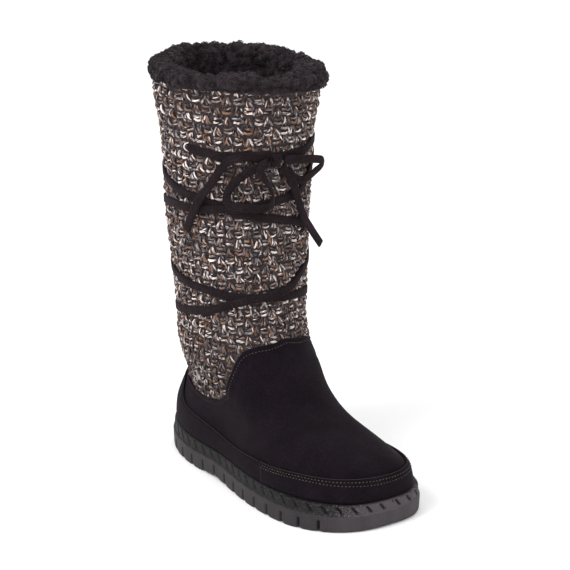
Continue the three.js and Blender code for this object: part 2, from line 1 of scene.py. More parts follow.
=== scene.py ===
# %% [markdown]
# # A lined winter boot, dressed in Blender
# The CAD solids give the size and the place of every piece. This lesson puts yarn, suede, pile and
# rubber on them. Each piece is made from the same section loops as the solids, so nothing has to be
# fitted by eye: a point is named by its angle round the boot and by how far up the sections it lies.

# %% Load the frame
import math

import bpy
import numpy as np
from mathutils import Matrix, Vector, kdtree, noise


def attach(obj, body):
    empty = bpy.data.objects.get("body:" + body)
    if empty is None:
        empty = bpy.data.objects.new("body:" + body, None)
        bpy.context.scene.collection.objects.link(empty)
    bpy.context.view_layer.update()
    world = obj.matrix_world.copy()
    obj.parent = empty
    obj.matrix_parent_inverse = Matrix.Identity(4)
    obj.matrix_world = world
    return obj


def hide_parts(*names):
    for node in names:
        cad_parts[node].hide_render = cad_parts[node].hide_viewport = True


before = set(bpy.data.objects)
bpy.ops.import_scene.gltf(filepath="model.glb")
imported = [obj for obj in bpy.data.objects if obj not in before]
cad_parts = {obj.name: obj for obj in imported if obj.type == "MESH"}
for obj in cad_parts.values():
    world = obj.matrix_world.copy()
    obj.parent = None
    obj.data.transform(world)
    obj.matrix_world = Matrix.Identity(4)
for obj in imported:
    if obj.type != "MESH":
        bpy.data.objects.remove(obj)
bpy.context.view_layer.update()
MM = 0.001
dice = np.random.default_rng(11)

# %% [markdown]
# ## The camera
# The picture was taken from the front and the outer side, looking down a little, with a long lens.
# The lens is given in picture points and turned into millimetres, and the camera aims at the middle
# of this one boot. No lens shift is needed, because the camera itself is turned.

# %% Camera at the picture's angle
FRAME_POINTS = 570
LENS_POINTS = 2150
SENSOR = 36.0
EYE = Vector((0.93740, 1.33733, 0.70000))
TURN = math.radians(142.5)
TILT = math.radians(17.55)
AIM_POINT = (209, 312)

back = Vector((math.sin(TURN), -math.cos(TURN), 0))
right = Vector((math.cos(TURN), math.sin(TURN), 0))
ahead = -back * math.cos(TILT) - Vector((0, 0, math.sin(TILT)))
over = -back * math.sin(TILT) + Vector((0, 0, math.cos(TILT)))
middle = FRAME_POINTS / 2
aim_right = (AIM_POINT[0] - middle) / LENS_POINTS
aim_up = (middle - AIM_POINT[1]) / LENS_POINTS
aim = ahead + right * aim_right + over * aim_up

camera_data = bpy.data.cameras.new("camera")
camera_data.lens = SENSOR * LENS_POINTS / FRAME_POINTS
camera_data.sensor_width = SENSOR
camera = bpy.data.objects.new("camera", camera_data)
camera.location = EYE
camera.rotation_euler = aim.to_track_quat("-Z", "Y").to_euler()
bpy.context.collection.objects.link(camera)
bpy.context.scene.camera = camera
print("lens", round(camera_data.lens, 1), "mm")

# %% [markdown]
# ## The last
# A shoemaker starts from a last. It could be sculpted, but then the solids and the looks would drift
# apart. Here it is a table: each row is one loop round the boot, from the sole up to the collar, with
# its reach to the front, back and both sides and the heights there. Rows are joined by a smooth curve,
# so any angle and any fraction of a row gives a point.

# %% Section loops, the same as the solids have
SHIFT = np.array([-2.600, 10.950, 0.0])
# Reach and height in front, then behind; reach to the outer and the inner side, and the height there;
# where the loop is widest; how square it is in front and behind; how far the waist draws in each side
NAMES = ("yF", "zF", "yB", "zB", "xL", "xM", "zS", "yW", "nF", "nB", "dL", "dM")
LOOPS = np.array([
    (119, 14.6, -121.5, 14.6, 54, -45, 14.6, 45, 2.9, 2.6, 6.5, 9),
    (122, 21, -124.5, 25.5, 55, -46, 23.5, 45, 2.9, 2.6, 6.5, 9),
    (121, 39, -124, 42, 53, -45, 36, 42, 2.6, 2.6, 6, 8),
    (114, 47, -121, 53, 50, -39, 46, 35, 2.4, 2.5, 5, 6),
    (99, 52, -118, 61, 47, -35, 55, 22, 2.3, 2.4, 3, 4),
    (80, 57.5, -116, 69, 45, -34, 63, 8, 2.1, 2.4, 1, 2),
    (61, 63.5, -115, 77, 44, -36, 71.5, -10, 2, 2.4, 0, 0),
    (43, 71.5, -117, 86, 46, -39.5, 82, -28, 2, 2.3, 0, 0),
    (26, 87, -118.5, 97, 48.5, -44, 95, -42, 2, 2.2, 0, 0),
    (10, 104.5, -119, 109, 50, -46, 108, -52, 2, 2.1, 0, 0),
    (1, 124, -118, 123, 50, -48, 122, -58, 2, 2, 0, 0),
    (-1, 142, -119, 142, 51, -49, 142, -60, 2, 2, 0, 0),
    (1.5, 175, -122.5, 175, 54, -49.5, 175, -60, 2, 2, 0, 0),
    (3, 210, -126.5, 210, 57.5, -50, 210, -60, 2, 2, 0, 0),
    (5.5, 250, -128, 250, 58.5, -52, 250, -60, 2, 2, 0, 0),
    (7, 285, -132, 285, 61, -54, 285, -60, 2, 2, 0, 0),
    (10, 305, -135.5, 304, 64.5, -57, 303, -60, 2, 2, 0, 0),
    (12.5, 321, -137.5, 321, 66, -59, 321, -60, 2, 2, 0, 0),
], float)
TOP = len(LOOPS) - 1
RIM = 1.0
print(len(LOOPS), "loops, the highest at", LOOPS[TOP, NAMES.index("zS")], "mm")


# %% Smooth curve through the rows
def spline(values, t):
    """Smooth value through evenly numbered rows, at fractional row t."""
    values = np.asarray(values, float)
    last = len(values) - 1
    t = np.asarray(t, float)
    i = np.clip(np.floor(t).astype(int), 0, last - 1)
    f = t - i
    p0, p1 = values[np.maximum(i - 1, 0)], values[i]
    p2, p3 = values[i + 1], values[np.minimum(i + 2, last)]
    m1, m2 = (p2 - p0) / 2, (p3 - p1) / 2
    f2, f3 = f * f, f * f * f
    return (2 * f3 - 3 * f2 + 1) * p1 + (f3 - 2 * f2 + f) * m1 + (3 * f2 - 2 * f3) * p2 + (f3 - f2) * m2


def unit(v):
    return v / np.maximum(np.linalg.norm(v, axis=-1, keepdims=True), 1e-12)


print("toe reach half a row up", round(float(spline(LOOPS[:, 0], 0.5)), 2), "mm")

# %% Points of the last
COLLAR_DEG, COLLAR_RISE, COLLAR_FROM, COLLAR_TO = 50, 6.5, 275, 321
WAIST_Y, WAIST_LONG, WAIST_SPREAD = -18, 42, 1.2
SWING_FROM, SWING_LONG, SWING_IN, SWING_TOP, SWING_FADE = 10, 112, 13, 130, 60


def loop_points(phi, w):
    """Points of the last in millimetres; phi runs from the toe by the outer side to the heel."""
    phi, w = np.broadcast_arrays(np.asarray(phi, float), np.asarray(w, float))
    s = {name: spline(LOOPS[:, k], w) for k, name in enumerate(NAMES)}
    c, d = np.cos(phi), np.sin(phi)
    n = np.where(c > 0, s["nF"], s["nB"])
    cs, sn = np.abs(c) ** (2 / n), np.abs(d) ** (2 / n)
    y = np.where(c > 0, s["yW"] + (s["yF"] - s["yW"]) * cs, s["yW"] - (s["yW"] - s["yB"]) * cs)
    waist = np.exp(-(((y - WAIST_Y) / WAIST_LONG) ** 2)) * np.minimum(1, sn * WAIST_SPREAD)
    x = np.where(d > 0, sn * s["xL"] - s["dL"] * waist, sn * s["xM"] + s["dM"] * waist)
    slant = COLLAR_RISE * np.clip((s["zS"] - COLLAR_FROM) / (COLLAR_TO - COLLAR_FROM), 0, 1) ** 2
    end_z = np.where(c > 0, s["zF"], s["zB"])
    z = s["zS"] + (end_z - s["zS"]) * c * c + slant * np.cos(phi - math.radians(COLLAR_DEG))
    swing = np.maximum(0, (y - SWING_FROM) / SWING_LONG)
    lean = -SWING_IN * swing * swing * np.clip((SWING_TOP - s["zS"]) / SWING_FADE, 0, 1)
    return np.stack([x + lean, y, z], -1) + SHIFT


print("collar reach", np.round(loop_points(0.0, TOP), 1), np.round(loop_points(math.pi, TOP), 1))

# %% Normals, and points moved out along them
PHI_STEP, ROW_STEP = 0.004, 0.02


def skin_normal(phi, w):
    phi, w = np.broadcast_arrays(np.asarray(phi, float), np.asarray(w, float))
    around = loop_points(phi + PHI_STEP, w) - loop_points(phi - PHI_STEP, w)
    upward = loop_points(phi, np.minimum(w + ROW_STEP, TOP)) - loop_points(phi, np.maximum(w - ROW_STEP, 0))
    normal = unit(np.cross(upward, around))
    normal[..., 2] *= np.clip(TOP - w, 0, 1)
    return unit(normal)


def skin(phi, w, offset):
    """Points of the last moved out along its normal by offset millimetres."""
    return loop_points(phi, w) + skin_normal(phi, w) * np.asarray(offset, float)[..., None]


print("outward at the toe", np.round(skin_normal(0.0, RIM), 2))

# %% Rows by height, and lines drawn round the boot
HALVINGS = 26


def row_at_height(phi, z):
    """Row number where the last has height z at angle phi."""
    phi, z = np.broadcast_arrays(np.asarray(phi, float), np.asarray(z, float))
    low, high = np.full(phi.shape, RIM), np.full(phi.shape, float(TOP))
    for _ in range(HALVINGS):
        mid = (low + high) / 2
        under = loop_points(phi, mid)[..., 2] < z
        low, high = np.where(under, mid, low), np.where(under, high, mid)
    return (low + high) / 2


def along_degrees(table, phi):
    """Value of a table of (degrees, value), the same on both sides of the boot."""
    table = np.asarray(table, float)
    degrees = np.degrees(np.abs(np.arctan2(np.sin(phi), np.cos(phi))))
    t = np.interp(degrees, table[:, 0], np.arange(len(table)))
    return spline(table[:, 1], t)


SUEDE_EDGE = [
    (0, 9.75), (17, 9.6), (28, 9.54), (36, 9.43), (42, 9.26), (48, 8.97), (55, 8.54), (63, 8.03), (73, 7.4),
    (85, 6.68), (94, 6.02), (103, 5.25), (110, 4.83), (117, 4.57), (125, 4.45), (136, 4.5), (150, 4.7),
    (165, 4.9), (180, 4.95),
]
FRONT_BAND_TOP = [(0, 2.05), (37, 2.15), (66, 2.3), (90, 2.25)]
REAR_BAND_TOP = [
    (90, 2.2), (100, 2.05), (110, 2.25), (118, 2.4), (127, 2.42), (134, 2.5), (140, 2.75), (144, 3.2),
    (149, 3.85), (156, 4.15), (168, 4.3), (180, 4.35),
]
print("peak of the suede", np.round(loop_points(0.0, SUEDE_EDGE[0][1]), 1))

# %% [markdown]
# ## Turning arrays into meshes
# Thousands of stitches are quicker to make as arrays of numbers than one by one. Three helpers cover
# the whole boot: one that hands the arrays to Blender, with the faces turned outward; a loft, which
# joins a row of cross-sections; and a bundle of tubes, for yarn and thread.

# %% Handing a piece to Blender
def signed_volume(points, face_sets):
    """Six times the volume inside the faces, negative where they look inward."""
    total = 0.0
    for faces in face_sets:
        a = points[faces[:, 0]]
        for k in range(1, faces.shape[1] - 1):
            total += np.einsum("ij,ij->i", a, np.cross(points[faces[:, k]], points[faces[:, k + 1]])).sum()
    return total


def hand_over(name, points, face_sets, finish, slot, replaced=(), tint=None):
    """Makes a piece of the boot from points in millimetres, and lets it ride on the boot."""
    points = np.asarray(points, float).reshape(-1, 3) * MM
    face_sets = [np.asarray(f, int) for f in face_sets if len(f)]
    if signed_volume(points, face_sets) < 0:
        face_sets = [f[:, ::-1] for f in face_sets]
    mesh = bpy.data.meshes.new(name)
    corners = np.concatenate([f.ravel() for f in face_sets])
    sizes = np.concatenate([np.full(len(f), f.shape[1]) for f in face_sets])
    mesh.vertices.add(len(points))
    mesh.vertices.foreach_set("co", points.ravel())
    mesh.loops.add(len(corners))
    mesh.loops.foreach_set("vertex_index", corners)
    mesh.polygons.add(len(sizes))
    mesh.polygons.foreach_set("loop_start", np.concatenate([[0], np.cumsum(sizes)[:-1]]))
    mesh.polygons.foreach_set("use_smooth", np.ones(len(sizes), bool))
    mesh.update(calc_edges=True)
    mesh.validate()
    if tint is not None:
        layer = mesh.color_attributes.new("tint", "FLOAT_COLOR", "POINT")
        colours = np.ones((len(points), 4))
        colours[:, :3] = tint
        layer.data.foreach_set("color", colours.ravel())
    piece = bpy.data.objects.new(name, mesh)
    piece.data.materials.append(finish)
    bpy.context.collection.objects.link(piece)
    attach(piece, "root")
    if replaced:
        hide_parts(*replaced)
    print(name, len(points), "points,", int((sizes - 2).sum()), "triangles")
    return piece


cube_corner = np.vstack([np.zeros(3), np.eye(3)])
cube_corner_faces = np.array([(0, 2, 1), (0, 1, 3), (0, 3, 2), (1, 2, 3)])
print("six times the volume of a cube's corner:", signed_volume(cube_corner, [cube_corner_faces]))


# %% Lofts
def loft(sections, ring):
    """Faces for sections of shape (stations, corners, 3); a ring joins its last station to its first."""
    stations, corners = sections.shape[:2]
    s = np.arange(stations if ring else stations - 1)[:, None]
    k = np.arange(corners)[None, :]
    here, there = s * corners, ((s + 1) % stations) * corners
    step = (k + 1) % corners
    quads = np.stack([here + k, here + step, there + step, there + k], -1).reshape(-1, 4)
    caps = []
    if not ring:
        half = corners // 2
        for base, flip in ((0, True), ((stations - 1) * corners, False)):
            for i in range(half - 1):
                quad = [base + i, base + i + 1, base + corners - 2 - i, base + corners - 1 - i]
                caps.append(quad[::-1] if flip else quad)
    return [quads] + ([np.array(caps)] if caps else [])


print("a ring of 3 stations with 8 corners has", len(loft(np.zeros((3, 8, 3)), True)[0]), "faces")


# %% Bundles of tubes
def tubes(paths, ups, radius, sides):
    """Points and faces for many closed tubes at once: paths (tubes, stations, 3)."""
    count, stations = paths.shape[:2]
    ahead_of = unit(np.gradient(paths, axis=1))
    side = unit(np.cross(ahead_of, np.broadcast_to(ups, paths.shape)))
    rise = np.cross(side, ahead_of)
    turn = np.arange(sides) * 2 * np.pi / sides
    reach = np.broadcast_to(radius, (count, stations))[:, :, None, None]
    ring = side[:, :, None] * np.cos(turn)[:, None] + rise[:, :, None] * np.sin(turn)[:, None]
    points = paths[:, :, None] + ring * reach
    start = (np.arange(count) * stations * sides)[:, None, None]
    s = (np.arange(stations - 1) * sides)[None, :, None]
    k = np.arange(sides)[None, None, :]
    step = (k + 1) % sides
    body = np.stack([start + s + k, start + s + step, start + s + sides + step, start + s + sides + k], -1)
    ends = np.arange(sides)[None, :] + np.arange(count)[:, None] * stations * sides
    lids = np.concatenate([ends[:, ::-1], ends + (stations - 1) * sides])
    return points.reshape(-1, 3), [body.reshape(-1, 4), lids]


def walk(line):
    """Distance walked along a line, at each of its points."""
    return np.concatenate([[0], np.cumsum(np.linalg.norm(np.diff(line, axis=0), axis=1))])


print("once round the rim is", round(walk(loop_points(np.linspace(0, 2 * np.pi, 400), RIM))[-1], 1), "mm")

# %% [markdown]
# ## Finishes
# A finish could be one colour and a roughness, but soft goods then look like plastic. Here noise in
# the boot's own coordinates, in metres, mottles the colour and lifts a fine grain. The helpers below
# each add one part of such a shader.

# %% A shader and its noise
GRAIN_DETAIL, GRAIN_ROUGH = 3, 0.7


def finish_nodes(name, roughness, sheen=0.0, sheen_roughness=0.5, specular=0.5):
    material = bpy.data.materials.new(name)
    material.use_nodes = True
    shader = material.node_tree.nodes["Principled BSDF"]
    shader.inputs["Roughness"].default_value = roughness
    shader.inputs["Sheen Weight"].default_value = sheen
    shader.inputs["Sheen Roughness"].default_value = sheen_roughness
    shader.inputs["Specular IOR Level"].default_value = specular
    return material, material.node_tree, shader


def speckle(tree, scale, detail=GRAIN_DETAIL, rough=GRAIN_ROUGH):
    place = tree.nodes.new("ShaderNodeTexCoord")
    grain = tree.nodes.new("ShaderNodeTexNoise")
    grain.inputs["Scale"].default_value = scale
    grain.inputs["Detail"].default_value = detail
    grain.inputs["Roughness"].default_value = rough
    tree.links.new(place.outputs["Object"], grain.inputs["Vector"])
    return grain


print("noise detail", GRAIN_DETAIL, "and roughness", GRAIN_ROUGH)

# %% Two tones, their product, and a raised grain
GRAIN_DEPTH = 0.0004


def two_tone(tree, grain, dark, light, low=0.35, high=0.68):
    ramp = tree.nodes.new("ShaderNodeValToRGB")
    ramp.color_ramp.elements[0].position = low
    ramp.color_ramp.elements[0].color = (*dark, 1)
    ramp.color_ramp.elements[1].position = high
    ramp.color_ramp.elements[1].color = (*light, 1)
    tree.links.new(grain.outputs["Fac"], ramp.inputs["Fac"])
    return ramp.outputs["Color"]


def multiply(tree, first, second):
    mixer = tree.nodes.new("ShaderNodeMix")
    mixer.data_type = "RGBA"
    mixer.blend_type = "MULTIPLY"
    mixer.inputs["Factor"].default_value = 1.0
    tree.links.new(first, mixer.inputs["A"])
    tree.links.new(second, mixer.inputs["B"])
    return mixer.outputs["Result"]


def raise_grain(tree, shader, grain, strength):
    bump = tree.nodes.new("ShaderNodeBump")
    bump.inputs["Strength"].default_value = strength
    bump.inputs["Distance"].default_value = GRAIN_DEPTH
    tree.links.new(grain.outputs["Fac"], bump.inputs["Height"])
    tree.links.new(bump.outputs["Normal"], shader.inputs["Normal"])


print("grain depth", GRAIN_DEPTH / MM, "mm")

# %% [markdown]
# ## Suede
# Suede is almost black, very rough, and catches a little light on its nap, so it gets a weak sheen.
# Broad patches show where the nap lies one way or the other, and fine specks are the nap itself. The
# lace is the same hide, a little paler because it is handled more.

# %% Suede of the foot and of the lace
SUEDE_SHEEN_TINT = (0.80, 0.66, 0.78, 1)
NAP_DARK, NAP_LIGHT = (0.35,) * 3, (1.6,) * 3


def suede_finish(name, dark, light, sheen):
    material, tree, shader = finish_nodes(
        name, roughness=0.95, sheen=sheen, sheen_roughness=0.45, specular=0.08)
    shader.inputs["Sheen Tint"].default_value = SUEDE_SHEEN_TINT
    patches = two_tone(tree, speckle(tree, scale=55, detail=5, rough=0.62), dark, light)
    nap = two_tone(tree, speckle(tree, scale=820, detail=4, rough=0.75), NAP_DARK, NAP_LIGHT)
    tree.links.new(multiply(tree, patches, nap), shader.inputs["Base Color"])
    raise_grain(tree, shader, speckle(tree, scale=2200), strength=0.5)
    return material


SUEDE = suede_finish("black_suede", (0.0052, 0.0033, 0.0052), (0.0088, 0.0057, 0.0088), sheen=0.032)
LACE_SUEDE = suede_finish("lace_suede", (0.0102, 0.0066, 0.0080), (0.0176, 0.0118, 0.0138), sheen=0.04)
print(SUEDE.name, LACE_SUEDE.name)

# %% [markdown]
# ## Yarn, pile, rubber and thread
# One tweed yarn has seven colours and the sole is paler at the toe, so a colour for the whole finish
# won't do. Each mesh keeps a tint at its points, and the shader multiplies it by fine fibres or grain.

# %% Finishes that take their colour from the mesh
def tinted_finish(name, roughness, sheen, fine, low, high, specular=0.12):
    material, tree, shader = finish_nodes(name, roughness, sheen, sheen_roughness=0.6, specular=specular)
    own = tree.nodes.new("ShaderNodeVertexColor")
    own.layer_name = "tint"
    fibres = two_tone(tree, speckle(tree, fine), (low,) * 3, (high,) * 3)
    tree.links.new(multiply(tree, own.outputs["Color"], fibres), shader.inputs["Base Color"])
    raise_grain(tree, shader, speckle(tree, fine * 1.4), strength=0.6)
    return material


YARN = tinted_finish("flecked_yarn", roughness=0.9, sheen=0.04, fine=1600, low=0.6, high=1.2)
PILE = tinted_finish("charcoal_pile", roughness=1.0, sheen=0.05, fine=900, low=0.45, high=1.45)
RUBBER = tinted_finish("moulded_rubber", roughness=0.62, sheen=0.0, fine=700, low=0.78, high=1.12,
                       specular=0.25)
THREAD = tinted_finish("sewing_thread", roughness=0.85, sheen=0.0, fine=1800, low=0.8, high=1.1)
print(YARN.name, PILE.name, RUBBER.name, THREAD.name)

# %% [markdown]
# ## Tweed ground, in painted shade
# Between the strands of the knit, the eye meets more yarn in shade. It could be plain and dark, but
# then the gaps look like holes. Noise with hard steps picks a yarn colour, darkened as painted shade,
# at each place instead, so that the gaps are flecked too.

# %% Finish of the ground
FLECK_FROM, FLECK_SPREAD = 0.34, 0.30


def fleck_finish(name, colours):
    """Matt ground in which noise picks one of a few colours."""
    material, tree, shader = finish_nodes(name, roughness=0.95, specular=0.1)
    grain = speckle(tree, scale=640, rough=0.65)
    picker = tree.nodes.new("ShaderNodeValToRGB")
    picker.color_ramp.interpolation = "CONSTANT"
    for k, colour in enumerate(colours):
        place = FLECK_FROM + FLECK_SPREAD * k / (len(colours) - 1)
        stop = picker.color_ramp.elements[0] if k == 0 else picker.color_ramp.elements.new(place)
        stop.color = (*colour, 1)
    picker.color_ramp.elements[-1].color = (*colours[-1], 1)
    tree.links.new(grain.outputs["Fac"], picker.inputs["Fac"])
    tree.links.new(picker.outputs["Color"], shader.inputs["Base Color"])
    raise_grain(tree, shader, speckle(tree, scale=900), strength=0.6)
    return material


# Yarn colours darkened about four times over: painted shade for the yarn seen in the gaps
SHADED_TWEED = fleck_finish("tweed_in_painted_shade", [
    (0.010, 0.008, 0.010), (0.038, 0.033, 0.037), (0.058, 0.038, 0.033),
    (0.013, 0.010, 0.012), (0.102, 0.091, 0.096), (0.019, 0.016, 0.018),
])
print(SHADED_TWEED.name)

# %% [markdown]
# ## The lace
# One flat suede lace winds down from the bow, round the back, crosses twice in front and climbs back.
# It could be a curve with a flat bevel, but a bevel twists on a curved shaft. Here each station lies on
# the knit and uses the knit's own normal, so the lace stays flat on it and steps over itself where it
# crosses. A drawn-tight lace sinks into the yarn, so the winding sits a little low.

# %% Stations and sections of the lace
LACE_WIDTH, LACE_THICK, LACE_SEAT = 6.5, 2.0, 0.6
CORNER = np.array([(-0.5, 0.18), (-0.5, 0.82), (-0.4, 1.0), (0.4, 1.0),
                   (0.5, 0.82), (0.5, 0.18), (0.4, 0.0), (-0.4, 0.0)])


def on_shaft(rows, count, seat):
    """Points and normals along rows of degrees, height, and where given lift and the way the face looks."""
    full = [tuple(r) + (0.0,) * (3 - len(r)) + (r[0],) for r in rows]
    rows = np.array([r[:4] for r in full], float)
    t = np.linspace(0, len(rows) - 1, count)
    phi = np.radians(spline(rows[:, 0], t))
    w = row_at_height(phi, spline(rows[:, 1], t))
    face = np.radians(spline(rows[:, 3], t))
    return skin(phi, w, seat + spline(rows[:, 2], t)), skin_normal(face, w)


def lace_sections(path, normal, width=LACE_WIDTH):
    side = unit(np.cross(np.gradient(path, axis=0), normal))
    across = np.multiply.outer(np.broadcast_to(width, len(path)), CORNER[:, 0])[..., None]
    thick = (CORNER[:, 1] * LACE_THICK)[None, :, None]
    return path[:, None] + side[:, None] * across + normal[:, None] * thick


print("lace", LACE_WIDTH, "by", LACE_THICK, "mm")

# %% Winding, and the bar that the bow hangs on
STEP_UP, OVER, DIVE = 0.6, 1.7, -3.2
SUNK_SEAT = -0.4
WOUND_STATIONS, BAR_STATIONS = 760, 60
TIP_WALK, TIP_WIDTHS = [0, 3, 9], [3.6, 5.0, LACE_WIDTH]
WINDING = [
    (15, 272.5), (-5, 272.5), (-20, 273), (-36, 276), (-70, 275), (-110, 268), (-150, 260), (-190, 253),
    (-230, 247), (-250, 243), (-272, 238), (-290, 235.5), (-308, 231), (-324, 226), (-340, 223),
    (-356, 219.5), (-373, 215.5), (-393, 208), (-430, 199), (-470, 188), (-510, 178), (-550, 171),
    (-590, 166), (-617, 163), (-635, 160.5), (-653, 159), (-676, 156), (-699, 155.5), (-718, 154),
    (-735, 153), (-753, 150.5), (-790, 144), (-830, 136), (-870, 130), (-905, 127), (-945, 129),
    (-973, 133), (-998, 138), (-1018, 143.5, STEP_UP), (-1035, 150.5, OVER), (-1050, 154.5, OVER),
    (-1064, 157, OVER), (-1078, 159.5, OVER), (-1090, 163, STEP_UP), (-1105, 171), (-1140, 181),
    (-1180, 191), (-1220, 201), (-1260, 210), (-1300, 218), (-1332, 224), (-1352, 226, STEP_UP),
    (-1371, 228, OVER), (-1391, 230, OVER), (-1411, 232, OVER), (-1425, 235.5, OVER),
    (-1441, 238, STEP_UP), (-1456, 241), (-1466, 250), (-1480, 259), (-1500, 265), (-1517, 268),
    (-1521, 268.2, DIVE),
]
TOP_BAR = [(79.5, 276.2, DIVE), (77, 276), (62, 274.5), (48, 272.5), (32, 274), (12, 272.5)]
wound_path, wound_normal = on_shaft(WINDING, WOUND_STATIONS, SUNK_SEAT)
wound = lace_sections(wound_path, wound_normal)
bar_path, bar_normal = on_shaft(TOP_BAR, BAR_STATIONS, SUNK_SEAT)
bar = lace_sections(bar_path, bar_normal, np.interp(walk(bar_path), TIP_WALK, TIP_WIDTHS))


def joined(first, second, ring):
    """Points and faces of two lofts as one piece."""
    shift = first.shape[0] * first.shape[1]
    faces = [np.concatenate([a, b + shift]) for a, b in zip(loft(first, ring), loft(second, ring))]
    return np.concatenate([first.reshape(-1, 3), second.reshape(-1, 3)]), faces


hand_over("lace_winding", *joined(wound, bar, False), LACE_SUEDE, "lace", ["lace_wraps"])

# %% [markdown]
# ## The bow
# Two loops and two tails hang free from the knot. Each is a strip of the lace along its route; what is
# at its far end is listed but not used. A curve drawn freely in space could cut into the knit. So the
# route is a short list of stations on the shaft, lifted off the knit where the lace arches, and turned
# where it twists.

# %% Bow: loops and tails as free cords
BOW_STATIONS = 110
BOW = {  # degrees, height, height over the knit and, where it is twisted, the way that its face looks
    "lace_loop_left": ([
        (17.8, 270, 4.9), (23.5, 267, 4.9), (28.5, 264, 4.9), (33.5, 261, 4.9), (38.5, 256.5, 4.9),
        (42.5, 251.2, 5), (45, 246, 5.2), (45.5, 239, 5.4), (41.5, 235, 5.4), (32, 233.5, 5.6),
        (23, 233, 6.2, 15), (17, 236, 7, -15), (16, 242, 7.4, -40), (17, 248, 7.6, -45),
        (19.5, 253, 7.8, -40), (22, 258, 8, -15), (24, 263, 8.4, 10), (23, 267.5, 8.6), (19, 271, 8),
    ], "object"),
    "lace_loop_right": ([
        (5.9, 270.5, 4.3), (-8, 268.5, 4.6), (-20, 266.5, 6.5), (-28, 264, 9.5), (-30, 259.5, 9.5),
        (-25, 255, 6), (-18, 251, 3), (-12, 250, 1), (-5, 253.5, 0.5), (2, 260.5, 0.6),
    ], "object"),
    "lace_tail_left": ([
        (20, 273.5, 2.4), (34, 273.8, 2.4), (44, 271, 2.4), (49.5, 264.5, 2), (55.5, 254.3, 1.6),
        (60, 246.8, 2.6), (65, 238.9, 4.6), (70, 228, 4.6), (74.5, 219, 3), (80, 208, 1.5),
    ], "bare"),
    "lace_tail_right": ([
        (8, 264.8, 3.2), (2, 257, 3.2), (-3.5, 246, 3.4), (-8, 233, 4.8), (-15, 219, 4.8),
        (-28, 204, 6, -16), (-38, 191, 10, -18),
    ], "bare"),
}
for name, (rows, far_end) in BOW.items():
    path, normal = on_shaft(rows, BOW_STATIONS, LACE_SEAT)
    strip = lace_sections(path, normal)
    piece = hand_over(name + "_cord", strip, loft(strip, False), LACE_SUEDE, "lace", [name])

# %% [markdown]
# ## The knot
# A tied knot is the lace wrapped tightly round its own middle. Two short closed bands do that: one
# straight round the bundle and one on the slant, each a loft of the lace's own section round an oval.

# %% Knot
KNOT_DEG, KNOT_Z, KNOT_LIFT = 12.0, 270.5, 4.6
KNOT_STATIONS, KNOT_THICK, KNOT_PINCH = 48, 1.8, 0.22
knot_phi = math.radians(KNOT_DEG)
knot_row = float(row_at_height(knot_phi, KNOT_Z))
knot_out = skin_normal(knot_phi, knot_row)
knot_along = unit(np.cross(knot_out, np.array([0, 0, 1.0])))
knot_up = np.cross(knot_along, knot_out)
knot_centre = skin(knot_phi, knot_row, KNOT_LIFT)


def knot_band(slant, tall, deep, wide):
    run = unit(knot_along * math.cos(slant) + knot_up * math.sin(slant))
    lift = unit(np.cross(run, knot_out))
    ring = []
    for a in np.linspace(0, 2 * np.pi, KNOT_STATIONS, endpoint=False):
        place = knot_centre + (lift * math.cos(a) * tall + knot_out * math.sin(a) * deep)
        pinched = wide * (1 - KNOT_PINCH * math.sin(a) ** 2)
        face = unit(lift * math.cos(a) / tall + knot_out * math.sin(a) / deep)
        ring.append([place + run * (c[0] * pinched) + face * ((c[1] - 1) * KNOT_THICK) for c in CORNER])
    return np.array(ring)


upright = knot_band(slant=0.12, tall=5.0, deep=3.6, wide=7.4)
slanted = knot_band(slant=0.7, tall=4.4, deep=3.9, wide=5.4)
hand_over("lace_knot_wraps", *joined(upright, slanted, True), LACE_SUEDE, "lace", ["lace_knot"])

# %% [markdown]
# ## The suede foot
# The foot is one hollow wall of suede. A single sheet would do from outside, but it has no thickness to
# show at its edge. So the wall is a closed loop in section. Its outer face follows the last, with a
# shallow dip where the edge is stitched down on the knit and slow waves from wear.

# %% Suede foot
SUEDE_OUT, SUEDE_IN, SEAT, OVERLAY = 0.8, -1.6, 0.4, 1.6
FOOT_COLUMNS, ROW_TALL = 270, 9.0
DIP_DEEP, DIP_FROM_EDGE, DIP_WIDE = 0.5, 4.2, 1.5
WEAR_SIZE, WEAR_SEED, WEAR_HIGH, WEAR_FADE = 38.0, 3.1, 0.8, 20
LIP = ((1.0, 0.45), (1.001, -0.2), (1.0, -0.9), (0.995, -1.5))


def columns(count):
    return np.arange(count) * 2 * np.pi / count


def waves(points, size, seed):
    place = np.asarray(points).reshape(-1, 3) / size + seed
    return np.array([noise.noise(Vector(p)) for p in place]).reshape(np.asarray(points).shape[:-1])


foot_phi = columns(FOOT_COLUMNS)[:, None]
foot_top = along_degrees(SUEDE_EDGE, foot_phi)
rise = np.concatenate([np.linspace(0, 0.9, 46), np.linspace(0.91, 0.997, 16)])[None, :]
foot_row = rise * foot_top
from_edge = (1 - rise) * foot_top * ROW_TALL
dip = -DIP_DEEP * np.exp(-((from_edge - DIP_FROM_EDGE) / DIP_WIDE) ** 2)
slow = waves(loop_points(foot_phi, foot_row), WEAR_SIZE, WEAR_SEED) * WEAR_HIGH
outer = skin(foot_phi, foot_row, SUEDE_OUT + dip + slow * np.clip(from_edge / WEAR_FADE, 0, 1))
lip = [skin(foot_phi, foot_top * share, offset) for share, offset in LIP]
inner = skin(foot_phi, np.linspace(0.98, 0, 14)[None, :] * foot_top, SUEDE_IN)
foot = np.concatenate([outer] + lip + [inner], axis=1)
hand_over("suede_foot", foot, loft(foot, True), SUEDE, "suede", ["vamp"])

# %% [markdown]
# ## Bands round the foot
# A strip of suede runs round the foot above the sole. The front strip laps over the rear one, and the
# rear one climbs behind the heel. A solidified sheet would do, but its edges are sharp. These are lofts
# a little proud of the foot, with rounded edges.

